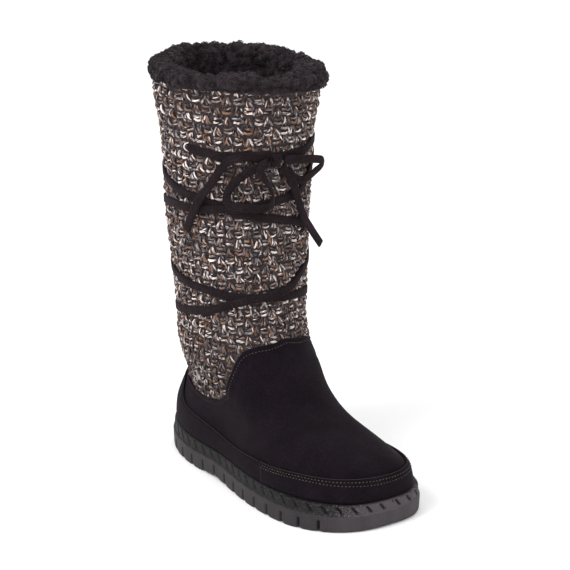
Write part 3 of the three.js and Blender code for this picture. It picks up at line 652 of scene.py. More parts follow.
# %% Bands
BAND_COLUMNS, BAND_SHARES, BAND_LOW = 220, 16, RIM + 0.03
EDGE_ROUND, EDGE_SOFT, LAP = 0.9, 0.05, 0.5
TOE_DEGREES, HEEL_DEGREES = (-89.6, 89.6), (88.0, 272.0)


def band(name, start, stop, edge, lapped, node):
    phi = np.radians(np.linspace(start, stop, BAND_COLUMNS))[:, None]
    high = along_degrees(edge, phi)
    base, lift = SUEDE_OUT + SEAT, OVERLAY + lapped
    share = np.linspace(0, 1, BAND_SHARES)[None, :]
    low_edge, high_edge = np.exp(-share / EDGE_SOFT), np.exp(-(1 - share) / EDGE_SOFT)
    crown = base + lift - EDGE_ROUND * low_edge - EDGE_ROUND * high_edge
    front = skin(phi, BAND_LOW + (high - BAND_LOW) * share, crown)
    rear = skin(phi, BAND_LOW + (high - BAND_LOW) * share[:, ::-1], base + 0.0 * share)
    strip = np.concatenate([front, rear], axis=1)
    return hand_over(name, strip, loft(strip, False), SUEDE, "suede", [node])


band("toe_band", *TOE_DEGREES, FRONT_BAND_TOP, LAP, "band_front")
band("heel_band", *HEEL_DEGREES, REAR_BAND_TOP, 0.0, "band_rear")

# %% [markdown]
# ## Stitches
# Two rows of pale thread hold the toe band, and one row runs along the edge of the suede on the knit.
# Thread could be painted, but close up a stitch is a small arch that dives under at both ends. So each
# is a short tube. Along the low stretch of the edge the thread is darker.

# %% Rows of stitches
STITCH_RISE = np.array([-0.9, 0.24, 0.6, 0.24, -0.9])
STITCH_SIDES, THREAD_SHADES = 6, (0.7, 1.2)


def stitch_row(phi, w, offset, pitch, length, thick):
    """Stations of stitches at an even pitch along a line on the boot."""
    line = skin(phi, w, offset)
    walked = walk(line)
    centres = np.arange(pitch / 2, walked[-1], pitch)
    at = centres[:, None] + np.linspace(-0.5, 0.5, len(STITCH_RISE))[None, :] * length
    run = np.stack([np.interp(at, walked, line[:, k]) for k in range(3)], -1)
    normal = skin_normal(phi, w)
    ups = unit(np.stack([np.interp(at, walked, normal[:, k]) for k in range(3)], -1))
    return run + ups * (STITCH_RISE * thick)[None, :, None], ups


def sew(name, rows, thick, colour):
    paths = np.concatenate([r[0] for r in rows])
    ups = np.concatenate([r[1] for r in rows])
    points, faces = tubes(paths, ups, thick, STITCH_SIDES)
    shade = colour * dice.uniform(*THREAD_SHADES, (len(paths), 1))
    tint = np.repeat(shade, len(STITCH_RISE) * STITCH_SIDES, axis=0)
    return hand_over(name, points, faces, THREAD, "suede", tint=tint)


print("a stitch has", len(STITCH_RISE), "stations with", STITCH_SIDES, "sides")

# %% Stitches of the toe band and of the suede's edge
TOE_THREAD = {"pitch": 2.9, "length": 0.8, "thick": 0.4}
SEAM_DEGREES, SEAM_POINTS, SEAM_DROPS = (-89, 89), 900, (0.16, 0.32)
EDGE_THREAD = {"pitch": 2.7, "length": 1.8, "thick": 0.36}
EDGE_SEAM, EDGE_SUNK, EDGE_POINTS, EDGE_STEP = 3.6, 0.35, 1600, 0.1
FADE_Z, FADE_SHADE = [66, 84], [0.28, 1.0]

seam_phi = np.radians(np.linspace(*SEAM_DEGREES, SEAM_POINTS))
seam_top = along_degrees(FRONT_BAND_TOP, seam_phi)
band_face = SUEDE_OUT + SEAT + OVERLAY + LAP
toe_rows = [stitch_row(seam_phi, seam_top - drop, band_face, **TOE_THREAD) for drop in SEAM_DROPS]
sew("toe_band_stitches", toe_rows, TOE_THREAD["thick"], np.array([0.078, 0.066, 0.053]))

edge_phi = np.linspace(-math.pi, math.pi, EDGE_POINTS)
edge_row = along_degrees(SUEDE_EDGE, edge_phi)
down = loop_points(edge_phi, edge_row) - loop_points(edge_phi, edge_row - EDGE_STEP)
slope = np.linalg.norm(down, axis=-1) / EDGE_STEP
edge_stitches = stitch_row(edge_phi, edge_row - EDGE_SEAM / slope, SUEDE_OUT - EDGE_SUNK, **EDGE_THREAD)
# Thread darker along the low stretch of the edge
low_edge_fade = np.interp(edge_stitches[0][:, 2, 2], FADE_Z, FADE_SHADE)[:, None]
sew("foot_edge_stitches", [edge_stitches], EDGE_THREAD["thick"], low_edge_fade * np.array([0.075, 0.068, 0.075]))

# %% [markdown]
# ## Cut edges
# Where a strip of suede is cut, the raw edge is paler than its face. A thin tube along the top of each
# band catches the light there. A paler colour on the last row of faces would be jagged.

# %% Cut edge along the top of the bands
CUT_RADIUS, CUT_SIDES, CUT_STATIONS, CUT_SUNK = 0.32, 6, 260, 0.45
CUT_TOE_DEGREES, CUT_HEEL_DEGREES = (-89.4, 89.4), (90, 270)
CUT_TINT = (0.026, 0.021, 0.025)


def cut_edge(start, stop, edge, proud):
    phi = np.radians(np.linspace(start, stop, CUT_STATIONS))
    w = along_degrees(edge, phi)
    return skin(phi, w, proud), skin_normal(phi, w)


cuts = [cut_edge(*CUT_TOE_DEGREES, FRONT_BAND_TOP, band_face - CUT_SUNK),
        cut_edge(*CUT_HEEL_DEGREES, REAR_BAND_TOP, band_face - LAP - CUT_SUNK)]
points, faces = tubes(np.stack([c[0] for c in cuts]), np.stack([c[1] for c in cuts]), CUT_RADIUS, CUT_SIDES)
hand_over("band_cut_edge", points, faces, THREAD, "suede", tint=CUT_TINT)

# %% [markdown]
# ## The knit
# The shaft is a thick tweed knit: peaked stitches and short bars that swap places like the squares of a
# chequerboard. The columns of the knit hang plumb, while the last leans back at the ankle, so a column
# can't be one angle of the last all the way up. Each is a lane, found again at every height.

# %% Lanes of the knit
KNIT_COLUMNS, KNIT_ROWS, ROW_PITCH, KNIT_LOW = 50, 39, 7.4, 46.0
CELL = 2 * math.pi / KNIT_COLUMNS
PLUMB_Y, LANE_OUTER, LANE_INNER, LANE_ALONG = -60.0, 51, 49, 59
LANE_ROUNDS, LANE_EASE = 8, 0.6


def on_lane(lane, z):
    """Angle and row of the last where a lane of the knit, which hangs plumb, passes height z."""
    lane, z = np.broadcast_arrays(lane, z)
    phi = lane + 0.0
    for _ in range(LANE_ROUNDS):
        row = row_at_height(phi, z)
        x, y, _ = np.moveaxis(loop_points(phi, row) - SHIFT, -1, 0)
        seen = np.arctan2(x / np.where(x > 0, LANE_OUTER, LANE_INNER), (y - PLUMB_Y) / LANE_ALONG)
        phi = phi + LANE_EASE * ((lane - seen + math.pi) % (2 * math.pi) - math.pi)
    return phi, row_at_height(phi, z)


print("a cell is", round(CELL * LANE_OUTER, 1), "by", ROW_PITCH, "mm")

# %% Cells of the chequerboard
CELL_JITTER, ROW_JITTER = 0.008, 0.5
SLANT_FROM, SLANT_LONG = 265, 56
UNDER_SUEDE, PAST_BRIM = 0.35, 2


def knit_cells(kind):
    """Lane and height of every other cell of the knit, like the squares of one colour on a board."""
    row, col = np.meshgrid(np.arange(KNIT_ROWS), np.arange(KNIT_COLUMNS), indexing="ij")
    chosen = (row + col) % 2 == kind
    row, col = row[chosen], col[chosen]
    phi = (col + 0.5) * CELL + dice.uniform(-CELL_JITTER, CELL_JITTER, len(col))
    z = KNIT_LOW + row * ROW_PITCH + dice.uniform(-ROW_JITTER, ROW_JITTER, len(row))
    brim = loop_points(phi, TOP)[:, 2]
    z = z + (brim - COLLAR_TO) * np.clip((z - SLANT_FROM) / SLANT_LONG, 0, 1)
    angle, place = on_lane(phi, z)
    keep = (place > along_degrees(SUEDE_EDGE, angle) - UNDER_SUEDE) & (z < brim + PAST_BRIM)
    return phi[keep], z[keep]


# Counting draws from the dice too, so the cells that are knitted below are drawn again
print("cells", len(knit_cells(0)[0]), len(knit_cells(1)[0]))

# %% [markdown]
# ## Colours of the yarn
# The yarn is three plies twisted together, pale, rusty and dark, and that twist is what makes the
# flecks. Noise over the whole shaft could colour it, but the flecks would not follow the strands. Here
# every ply draws its colours from a palette, by the odds of its mix, and the odds shift from patch to
# patch, because the real knit is lighter in some places than in others.

# %% Palette, and the odds of each colour
CREAM, STONE, GREY, RUST, BROWN, CHARCOAL, BLACK = range(7)
PALETTE = np.zeros((7, 3))
PALETTE[CREAM] = 0.85, 0.75, 0.715
PALETTE[STONE] = 0.40, 0.338, 0.325
PALETTE[GREY] = 0.195, 0.168, 0.174
PALETTE[RUST] = 0.270, 0.146, 0.094
PALETTE[BROWN] = 0.125, 0.073, 0.056
PALETTE[CHARCOAL] = 0.058, 0.048, 0.053
PALETTE[BLACK] = 0.019, 0.015, 0.017
MIXES = {  # odds of each colour of the palette, in its order
    "pale": (0.28, 0.21, 0.17, 0.12, 0.08, 0.10, 0.04),
    "warm": (0.08, 0.11, 0.17, 0.32, 0.16, 0.11, 0.05),
    "mixed": (0.06, 0.13, 0.26, 0.13, 0.15, 0.18, 0.09),
    "dark": (0.01, 0.04, 0.16, 0.06, 0.19, 0.34, 0.20),
}
CREAM_PULL, STONE_PULL, YARN_SHADES = 1.8, 0.9, (0.75, 1.2)


def draw_colours(mix, lightness):
    odds = np.tile(np.array(MIXES[mix]), (len(lightness), 1))
    odds[:, CREAM] *= np.exp(CREAM_PULL * lightness)
    odds[:, STONE] *= np.exp(STONE_PULL * lightness)
    odds = np.cumsum(odds / odds.sum(1, keepdims=True), axis=1)
    pick = (dice.random((len(lightness), 1)) > odds).sum(1).clip(0, len(PALETTE) - 1)
    return PALETTE[pick] * dice.uniform(*YARN_SHADES, (len(lightness), 1))


print(len(PALETTE), "colours in", len(MIXES), "mixes")

# %% [markdown]
# ## Where the lace presses the knit in
# A tight lace draws the knit in round it. A shrinkwrap could do it, but it would flatten the stitches.
# A tree of the lace's points gives each strand its distance from the lace, and the near ones sink.

# %% Distance from the lace
BITE_DEEP, BITE_REACH = 1.9, 4.3
lace_line = kdtree.KDTree(len(wound_path) + len(bar_path))
for number, place in enumerate(np.concatenate([wound_path, bar_path])):
    lace_line.insert(place, number)
lace_line.balance()


def lace_bite(points):
    """How far the lace presses the knit in, at points in millimetres."""
    gap = np.array([lace_line.find(p)[2] for p in points.reshape(-1, 3)]).reshape(points.shape[:-1])
    return BITE_DEEP * np.exp(-((gap / BITE_REACH) ** 4))


print("bite under the lace", round(float(lace_bite(wound_path[:1])[0]), 2), "mm")

# %% [markdown]
# ## Strands of the knit
# A bump map would look flat at the edge of the shaft, so every ply is a small tube that winds round its
# neighbour. A stitch has two legs that lean together, with a warm strand between them, and a bar is two
# strands across. All the strands of one kind are made at once, as one mesh.

# %% Strands in a cell
STATIONS, PLY_SIDES, PLY_RADIUS, PLY_APART = 6, 3, 0.55, 0.60
ALONG = np.linspace(0, 1, STATIONS)
ARCH = 1.5 * np.sin(np.pi * ALONG) - 1.0
LEGS = [  # start and end across and up the cell, bend, height over the ground, mixes of the three plies
    ((-0.37, -0.47), (-0.06, 0.40), (-0.02, 0.0), 0.55, "pale", "mixed", "dark"),
    ((0.37, -0.47), (0.06, 0.40), (0.02, 0.0), 0.55, "pale", "mixed", "dark"),
]
BETWEEN = [
    ((0.00, -0.58), (0.00, 0.20), (0.0, 0.0), 0.00, "warm", "mixed", "dark"),
    ((0.50, 0.56), (0.50, -0.34), (0.0, 0.0), 0.00, "dark", "dark", "mixed"),
]
BARS = [
    ((-0.44, -0.16), (0.44, -0.16), (0.0, -0.05), 0.60, "pale", "pale", "mixed"),
    ((-0.42, 0.24), (0.42, 0.24), (0.0, -0.03), 0.15, "warm", "dark", "mixed"),
]
print(len(LEGS) + len(BETWEEN), "strands in a stitch,", len(BARS), "in a bar")

# %% Knit yarn
KNIT_RADIUS, PATCH_WIDE, PATCH_TALL, PATCH_TONE, STITCH_TONE = 55, 34, 9, 1.5, 0.45
TONE_Z, TONES = [75, 140, 320], [0.67, 1.08, 1.18]
WOBBLE, UNEVEN, YARN_SEAT = 0.06, 0.15, -0.7
TUCK_FROM, TUCK_LONG, TUCK_DEEP = -0.5, 2.5, 2.2
FLECKED_PLIES, FLECKED_STATIONS = 0.55, 0.6
TWIST_RADIANS, PLY_UNEVEN = (2.0, 6.5), (0.8, 1.15)


def strand_lines(cells, start, end, bend, lift):
    """Middle lines of one strand in every cell, and the way that is up off the knit there."""
    phi, z = cells
    wobble = dice.normal(0, WOBBLE, (len(phi), 2, 2))
    flat = (np.array(start) + wobble[:, 0])[:, None] * (1 - ALONG)[None, :, None]
    flat = flat + (np.array(end) + wobble[:, 1])[:, None] * ALONG[None, :, None]
    flat = flat + np.array(bend) * np.sin(np.pi * ALONG)[None, :, None]
    at_phi, at_row = on_lane(phi[:, None] + flat[..., 0] * CELL, z[:, None] + flat[..., 1] * ROW_PITCH)
    beyond = (at_row - along_degrees(SUEDE_EDGE, at_phi)) * ROW_TALL
    tuck = np.clip(1 - (beyond - TUCK_FROM) / TUCK_LONG, 0, 1)
    proud = YARN_SEAT + lift + ARCH + dice.normal(0, UNEVEN, (len(phi), 1)) - TUCK_DEEP * tuck
    bite = lace_bite(skin(at_phi, at_row, 0 * at_row))
    return skin(at_phi, at_row, proud - bite), skin_normal(at_phi, at_row)


def knit(name, cells, strands, nodes):
    phi, z = cells
    count = len(phi)
    centres = np.stack([phi * KNIT_RADIUS / PATCH_WIDE, z / PATCH_TALL, 0 * z], -1)
    patch = np.array([noise.noise(Vector(c)) for c in centres])
    lightness = PATCH_TONE * patch + dice.normal(0, STITCH_TONE, count)
    # The knit is darker towards the bottom of the shaft
    height_tone = np.interp(z, TONE_Z, TONES)
    paths, ups, tints = [], [], []
    for start, end, bend, lift, *mixes in strands:
        middle_line, up = strand_lines(cells, start, end, bend, lift)
        across = unit(np.cross(np.gradient(middle_line, axis=1), up))
        twist = dice.uniform(0, 2 * np.pi, (count, 1)) + dice.uniform(*TWIST_RADIANS, (count, 1)) * ALONG
        for ply, mix in enumerate(mixes):
            turn = (twist + 2 * np.pi * ply / len(mixes))[..., None]
            paths.append(middle_line + (across * np.cos(turn) + up * np.sin(turn)) * PLY_APART)
            ups.append(up)
            shades = np.stack([draw_colours(mix, lightness) for _ in range(STATIONS)], axis=1)
            flecked_ply = dice.random((count, 1)) < FLECKED_PLIES
            flecked = flecked_ply & (dice.random((count, STATIONS)) < FLECKED_STATIONS)
            tints.append(np.where(flecked[..., None], shades, shades[:, :1]) * height_tone[:, None, None])
    paths, ups = np.concatenate(paths), np.concatenate(ups)
    points, faces = tubes(paths, ups, PLY_RADIUS * dice.uniform(*PLY_UNEVEN, (len(paths), 1)), PLY_SIDES)
    tint = np.repeat(np.concatenate(tints).reshape(-1, 3), PLY_SIDES, axis=0)
    return hand_over(name, points, faces, YARN, "knit", nodes, tint)


peaks, gaps = knit_cells(0), knit_cells(1)
knit("knit_legs", peaks, LEGS, ["shaft"])
knit("knit_between", peaks, BETWEEN, [])
knit("knit_bars", gaps, BARS, [])

# %% [markdown]
# ## The stitch at the lace's end
# On the outer side, the lace goes in through the knit, and one pale stitch curls round it there. A cell
# of the chequerboard could be recoloured, but no cell curls that way, so it is a tube of its own,
# led through five points.

# %% Pale stitch round the hole where the lace goes in
HOLE = [(77.6, 279.6, -0.6), (79.6, 278.5, 0.8), (80.6, 276.3, 1.3), (79.8, 273.9, 0.8), (77.8, 272.6, -0.6)]
HOLE_STATIONS, HOLE_SIDES = 16, 6
hole_path, hole_up = on_shaft(HOLE, HOLE_STATIONS, 0.0)
points, faces = tubes(hole_path[None], hole_up[None], PLY_RADIUS, HOLE_SIDES)
hand_over("knit_eye", points, faces, YARN, "knit", tint=PALETTE[CREAM])

# %% [markdown]
# ## The ground of the knit
# Through the gaps between strands one would see the lining. More strands could fill them, at a high
# cost in triangles. A thin closed sleeve under the strands shuts them, with the tweed ground in painted shade
# on it.

# %% Dark ground behind the strands, in painted shade
GROUND_COLUMNS, GROUND_ROWS, GROUND_UNDER = 120, 40, 0.1
GROUND_FACE, GROUND_BACK = -1.3, -2.6
ground_phi = columns(GROUND_COLUMNS)[:, None]
ground_low = along_degrees(SUEDE_EDGE, ground_phi) - GROUND_UNDER
climb = np.linspace(0, 1, GROUND_ROWS)[None, :]
face = skin(ground_phi, ground_low + (TOP - ground_low) * climb, GROUND_FACE + 0 * climb)
rear = skin(ground_phi, ground_low + (TOP - ground_low) * climb[:, ::-1], GROUND_BACK + 0 * climb)
ground = np.concatenate([face, rear], axis=1)
# The sleeve carries the painted shade of the tweed ground
hand_over("knit_ground", ground, loft(ground, True), SHADED_TWEED, "knit")

# %% [markdown]
# ## Fleece cuff
# The collar is a thick roll of curly pile that turns over and lines the inside. It could be a torus
# with a displacement, but the real roll is higher at the back and flatter in front. So its section
# swells and leans in by tables round the collar, and rounded lumps from cell noise make the tufts.

# %% Smooth roll on the collar
CUFF = np.array([  # out from the collar and up from it, once round the section
    (0.6, -2.3), (3.6, 0.2), (4.9, 5.6), (3.8, 11.5), (0, 15), (-4, 16), (-8.5, 14.5), (-11.2, 11),
    (-12, 6.5), (-11.2, 0), (-9.6, -14), (-6.0, -14), (-4.4, -4), (-3.0, 0.2),
])
SWELL = np.array([  # degrees, how far the outside swells, how tall the roll is
    (0, 0.3, 0.65), (15, 0, 0.4), (30, 0, 0.68), (45, 0, 0.66), (60, -0.3, 0.44), (75, -1, 0.46),
    (90, -2, 0.6), (120, -4, 0.66), (150, -2.8, 0.76), (168, 0, 1.03), (192, 0, 1.16), (215, 0, 1.24),
    (240, 0, 1.34), (262, 0, 1.12), (290, -0.8, 0.95), (318, -0.6, 0.95), (342, 0, 0.82), (360, 0.3, 0.65),
])
INWARD = np.array([  # degrees, how far the inside leans in
    (0, 0), (60, 1), (85, 6), (150, 6), (175, 0), (270, 0), (290, 5), (335, 6), (352, 1), (360, 0),
])
SWELL_FULL, INWARD_FROM = 5, 6


def collar_frame(phi):
    base = loop_points(phi, TOP)
    out = skin_normal(phi, TOP - ROW_STEP)
    out[..., 2] = 0
    return base, unit(out)


def roll(phi, t):
    """Points on the smooth roll; t runs once round its section."""
    closed = np.concatenate([CUFF[-1:], CUFF, CUFF[:2]])
    station = 1 + (t % 1) * len(CUFF)
    r, h = spline(closed[:, 0], station), spline(closed[:, 1], station)
    base, out = collar_frame(phi)
    degrees = np.degrees(phi) % 360
    place = np.interp(degrees, SWELL[:, 0], np.arange(len(SWELL)))
    r = r + spline(SWELL[:, 1], place) * np.maximum(0, r / SWELL_FULL)
    r = r - np.interp(degrees, INWARD[:, 0], INWARD[:, 1]) * np.maximum(0, (-r - INWARD_FROM) / INWARD_FROM)
    h = np.where(h > 0, h * spline(SWELL[:, 2], place), h)
    return base + out * r[..., None] + np.array([0, 0, 1.0]) * h[..., None]


def roll_normal(phi, t):
    a = roll(phi + PHI_STEP, t) - roll(phi - PHI_STEP, t)
    b = roll(phi, t + PHI_STEP) - roll(phi, t - PHI_STEP)
    return unit(np.cross(b, a))


print("roll is highest at", SWELL[SWELL[:, 2].argmax(), 0], "degrees")

# %% Tufts of the roll
ROLL_COLUMNS, ROLL_STATIONS = 460, 84
PILE_COLOUR = np.array([0.0156, 0.0109, 0.0134])
# The last column is each size's share of the painted shade between the tufts
TUFTS = [  # size, seed, sharpness, height and share of the tone
    (11.5, 0.3, 2, 4.2, 0.45),
    (5.6, 5.7, 2, 2.6, 0.70),
    (2.8, 8.2, 1, 0.9, 0.45),
]
PILE_SETTLE, PILE_CONTRAST, LUMP_REACH = 4.7, 1.7, 0.95


def lumps(points, size, seed):
    """Rounded lumps from 0 to 1, about one per size millimetres."""
    place = np.asarray(points).reshape(-1, 3) / size + seed
    near = np.array([noise.voronoi(Vector(p))[0][0] for p in place])
    return np.sqrt(np.clip(1 - (near / LUMP_REACH) ** 2, 0, 1)).reshape(np.asarray(points).shape[:-1])


def pile_height(points):
    """Tufts of the pile in three sizes, and how deep in shade each place lies."""
    height, painted_pile_shade = 0.0, 0.0
    for size, seed, sharp, tall, share in TUFTS:
        tuft = lumps(points, size, seed) ** sharp
        height = height + tall * tuft
        painted_pile_shade = painted_pile_shade + share * tuft
    return height - PILE_SETTLE, painted_pile_shade ** PILE_CONTRAST


roll_phi = columns(ROLL_COLUMNS)[:, None] + np.zeros((1, ROLL_STATIONS))
roll_t = np.linspace(0, 1, ROLL_STATIONS, endpoint=False)[None, :] + 0 * roll_phi
smooth = roll(roll_phi, roll_t)
bulge, painted_pile_shade = pile_height(smooth)
fleece = smooth + roll_normal(roll_phi, roll_t) * bulge[..., None]
# The tint is the pile colour darkened between the tufts: painted shade
hand_over("fleece_roll", fleece, loft(fleece, True), PILE, "fleece", ["cuff"],
          tint=(painted_pile_shade[..., None] * PILE_COLOUR).reshape(-1, 3))

# %% [markdown]
# ## Curls
# It is the curls at the edge of the roll that make it read as fleece. Particle hair could grow them,
# but hair isn't a mesh, and the boot is handed on as meshes. Small hooked tubes stand on the roll
# instead, each turned its own way.

# %% Curls on the roll
CURLS, CURL_STATIONS, CURL_SIDES = 4200, 5, 3
CURL_FROM, CURL_TO, CURL_LOOSE, CURL_SQUAT, CURL_SUNK = -0.6, 3.9, 0.3, 0.8, 0.3
CURL_SIZES, CURL_RADII, CURL_SHADES, CURL_ROUND = (0.8, 2.0), (0.26, 0.42), (0.8, 1.5), (0.04, 0.68)
OFF_AXIS = np.array([0.3, 0.2, 0.9])


def curls(name, centres, outs, shade):
    count = len(centres)
    spin = dice.uniform(0, 2 * np.pi, count)
    helper = unit(np.cross(outs, OFF_AXIS))
    along = unit(helper * np.cos(spin)[:, None] + np.cross(outs, helper) * np.sin(spin)[:, None])
    size = dice.uniform(*CURL_SIZES, (count, 1, 1))
    loose = dice.uniform(-CURL_LOOSE, CURL_LOOSE, (count, 1, 1))
    turn = np.linspace(CURL_FROM, CURL_TO, CURL_STATIONS)[None, :, None] + loose
    sway = np.cross(outs, along)[:, None] * (np.linspace(-0.5, 0.5, CURL_STATIONS)[None, :, None] * size)
    hook = along[:, None] * np.cos(turn) * size + outs[:, None] * (np.sin(turn) * size * CURL_SQUAT)
    lean = np.roll(unit(sway + outs[:, None] * 0.01), 1, axis=1)
    radius = dice.uniform(*CURL_RADII, (count, 1))
    points, faces = tubes(centres[:, None] + hook + sway, lean, radius, CURL_SIDES)
    shades = PILE_COLOUR * (shade * dice.uniform(*CURL_SHADES, count))[:, None]
    tint = np.repeat(shades, CURL_STATIONS * CURL_SIDES, axis=0)
    return hand_over(name, points, faces, PILE, "fleece", tint=tint)


curl_phi = dice.uniform(0, 2 * np.pi, CURLS)
curl_t = dice.uniform(*CURL_ROUND, CURLS)
curl_base = roll(curl_phi, curl_t)
curl_lift, painted_curl_shade = pile_height(curl_base)
curl_out = roll_normal(curl_phi, curl_t)
# Each curl takes the painted shade of the roll where it stands, times a random tone
curls("fleece_curls", curl_base + curl_out * (curl_lift - CURL_SUNK)[:, None], curl_out, painted_curl_shade)

# %% [markdown]
# ## Lining
# The fleece goes on down the inside of the shaft. Curls could stand on it as well, but only its upper
# part is ever seen, and in shade, so two sizes of lumps on a closed sleeve are enough.

# %% Lining down the shaft
LINING_COLUMNS, LINING_ROWS, LINING_HIGH, LINING_LOW = 190, 76, TOP - 0.4, 4.6
LINING_FACE, LINING_BACK, LINING_BACK_SHADE = -5.8, -3.2, 0.6
LARGE, LARGE_TALL = {"size": 8.0, "seed": 2.2}, 2.4
SMALL, SMALL_TALL = {"size": 4.0, "seed": 9.1}, 1.2
lining_phi = columns(LINING_COLUMNS)[:, None]
lining_w = np.linspace(LINING_HIGH, LINING_LOW, LINING_ROWS)[None, :]
wall = loop_points(lining_phi, lining_w)
large, small = lumps(wall, **LARGE), lumps(wall, **SMALL)
near = skin(lining_phi, lining_w, LINING_FACE - (LARGE_TALL * large + SMALL_TALL * small))
far = skin(lining_phi, lining_w[:, ::-1], LINING_BACK + 0 * lining_w)
lining = np.concatenate([near, far], axis=1)
# Between the lumps the pile is painted darker: painted shade
shade = np.concatenate([0.35 + 0.5 * large + 0.5 * small, np.full(far.shape[:2], LINING_BACK_SHADE)], axis=1)
hand_over("fleece_lining", lining, loft(lining, True), PILE, "fleece",
          tint=(shade[..., None] * PILE_COLOUR).reshape(-1, 3))

# %% [markdown]
# ## Footbed
# Inside, a flat board with pile on it closes the bottom of the foot. A filled face with two hundred
# corners shades badly, so rungs run from side to side and close it with small faces.

# %% Slabs closed by rungs
def slab(levels):
    """Faces of a stack of loops, closed at both ends by rungs from side to side."""
    rings, count = len(levels), len(levels[0])
    grid = loft(np.zeros((rings, count, 3)), False)[0]
    half = count // 2
    i = np.arange(1, half)
    rungs = []
    for base, flip in ((0, False), ((rings - 1) * count, True)):
        four = np.stack([base + i[:-1], base + i[1:], base + count - i[1:], base + count - i[:-1]], -1)
        ends = np.array([[base, base + 1, base + count - 1], [base + half - 1, base + half, base + half + 1]])
        rungs.append((four[:, ::-1] if flip else four, ends[:, ::-1] if flip else ends))
    return [np.concatenate([grid, rungs[0][0], rungs[1][0]]), np.concatenate([rungs[0][1], rungs[1][1]])]


print("three loops of 8 make", [len(f) for f in slab(np.zeros((3, 8, 3)))], "faces of 4 and 3 corners")

# %% Footbed
CUP_FLOOR = 14.2
BED_COLUMNS, BED_ROW, BED_ROOM, BED_SHADE = 200, 0.1, 0.6, 0.8
BED_MIDDLE = np.array([2.0, 5.0, 0])
BED_LEVELS = ((1.0, 0.3), (1.0, 2.6), (0.97, 3.3))
bed_edge = skin(columns(BED_COLUMNS), BED_ROW, SUEDE_IN - BED_ROOM)
bed_levels = []
for shrink, above in BED_LEVELS:
    level = (bed_edge - BED_MIDDLE) * np.array([shrink, shrink, 0]) + BED_MIDDLE
    level[:, 2] = CUP_FLOOR + above
    bed_levels.append(level)
hand_over("footbed", np.concatenate(bed_levels), slab(bed_levels), PILE, "fleece", ["insole"],
          tint=PILE_COLOUR * BED_SHADE)

# %% [markdown]
# ## The rubber sole
# The sole is a moulded cup. Its side has an upright slit every few finger-widths, cut in from the
# floor, and a darker rough strip under the rim with slanted slashes. Booleans would do it, but they
# leave ragged shading. Here the side is a fine grid measured along the outline, and the cuts
# push its points inward.

# %% Outline of the sole
CUP_WALL, ARCH_RISE, TOE_SPRING, TOE_FLARE = 3.6, 2.5, 1.0, 3.0
ARCH_Y, ARCH_LONG, SPRING_FROM, SPRING_LONG, FLARE_FROM, FLARE_LONG = -28, 22, 92, 36, 15, 65
REACH = SUEDE_OUT + SEAT + CUP_WALL
OUTLINE_POINTS, SOLE_COLUMNS = 7201, 940


def underside(y):
    y = y - SHIFT[1]
    arch = ARCH_RISE * np.exp(-(((y - ARCH_Y) / ARCH_LONG) ** 2) * 2)
    return arch + TOE_SPRING * np.maximum(0, (y - SPRING_FROM) / SPRING_LONG) ** 2


def toe_flare(line):
    return TOE_FLARE * np.clip((line[:, 1] - SHIFT[1] - FLARE_FROM) / FLARE_LONG, 0, 1) ** 2


dense = np.linspace(0, 2 * np.pi, OUTLINE_POINTS)
dense_line = loop_points(dense, RIM)
tangent = loop_points(dense + PHI_STEP, RIM) - loop_points(dense - PHI_STEP, RIM)
dense_out = unit(np.stack([-tangent[:, 1], tangent[:, 0], 0 * dense], -1))
edge_line = dense_line + dense_out * (REACH + toe_flare(dense_line))[:, None]
edge_line[:, 2] = 0
walked = walk(edge_line)
at = np.linspace(0, walked[-1], SOLE_COLUMNS, endpoint=False)
sole_phi = np.interp(at, walked, dense)
sole_base = loop_points(sole_phi, RIM)
sole_out = unit(np.stack([np.interp(at, walked, dense_out[:, k]) for k in range(3)], -1))
full_reach = REACH + toe_flare(sole_base)
lowest = underside((sole_base + sole_out * full_reach[:, None])[:, 1])
print("once round the sole is", round(walked[-1], 1), "mm")

# %% Slits of the lugs
SLIT_DEGREES, SLIT_FIRST, SLIT_PITCH = [48, 312], 2.0, 17.0
SLIT_HALF, SLIT_SOFT, SLIT_DEEP, SLIT_TOP, SLIT_TOP_SOFT = 0.95, 0.12, 2.6, 9.5, 0.25
LUG_ROUND, LUG_REACH = 1.3, 2.4


def within(value, limit, soft):
    """One where value is under limit and nothing above it, with a soft step between."""
    return 1 / (1 + np.exp((value - limit) / soft))


slit_from, slit_to = np.interp(np.radians(SLIT_DEGREES), dense, walked)
slits = np.arange(slit_from + SLIT_FIRST, slit_to, SLIT_PITCH)
to_slit = np.abs(at[:, None] - slits[None, :]).min(1)
slit_cut = SLIT_DEEP * within(to_slit, SLIT_HALF, SLIT_SOFT)
lug = LUG_ROUND * np.exp(-((to_slit / LUG_REACH) ** 2))
print(len(slits), "slits")

# %% [markdown]
# ## Tone of the rubber
# Rubber is not one grey here: the lugs are paler at the toe and darker along the sides. The rough strip
# is painted lighter at the toe, a painted highlight, and along the sides it has painted glints, specks of
# painted highlight with darker specks between; the slits and slashes get painted shade. Three finishes
# could share the sole, but their borders would be hard. A tint at each point of the grid holds it all, row by
# row.

# %% Tones round the sole
RUBBER_COLOUR = np.array([0.0408, 0.0338, 0.0388])
MOTTLE_DEEP, MOTTLE_SIZE, MOTTLE_SEED = 0.26, 9.0, 4.4
off_toe = np.degrees(np.abs(np.arctan2(np.sin(sole_phi), np.cos(sole_phi))))
# How strongly the painted glints show: none at the toe, full along the sides
glint_share = np.interp(off_toe, [10, 36], [0.0, 1.0])
# The strip is painted lighter at the toe, a painted highlight where it catches the light; along the sides it
# keeps its own dark tone
strip_tone_and_highlight = np.interp(off_toe, [6, 24, 42, 70, 180], [1.6, 1.35, 0.30, 0.15, 0.12])
# The lugs are paler at the toe and darker along the sides
lug_tone = np.interp(off_toe, [10, 40, 54], [1.14, 0.92, 0.60])
mottle = lug_tone * (1 + MOTTLE_DEEP * waves(sole_base, MOTTLE_SIZE, MOTTLE_SEED))
print("strip from", strip_tone_and_highlight.max(), "at the toe to", strip_tone_and_highlight.min(), "at the heel")

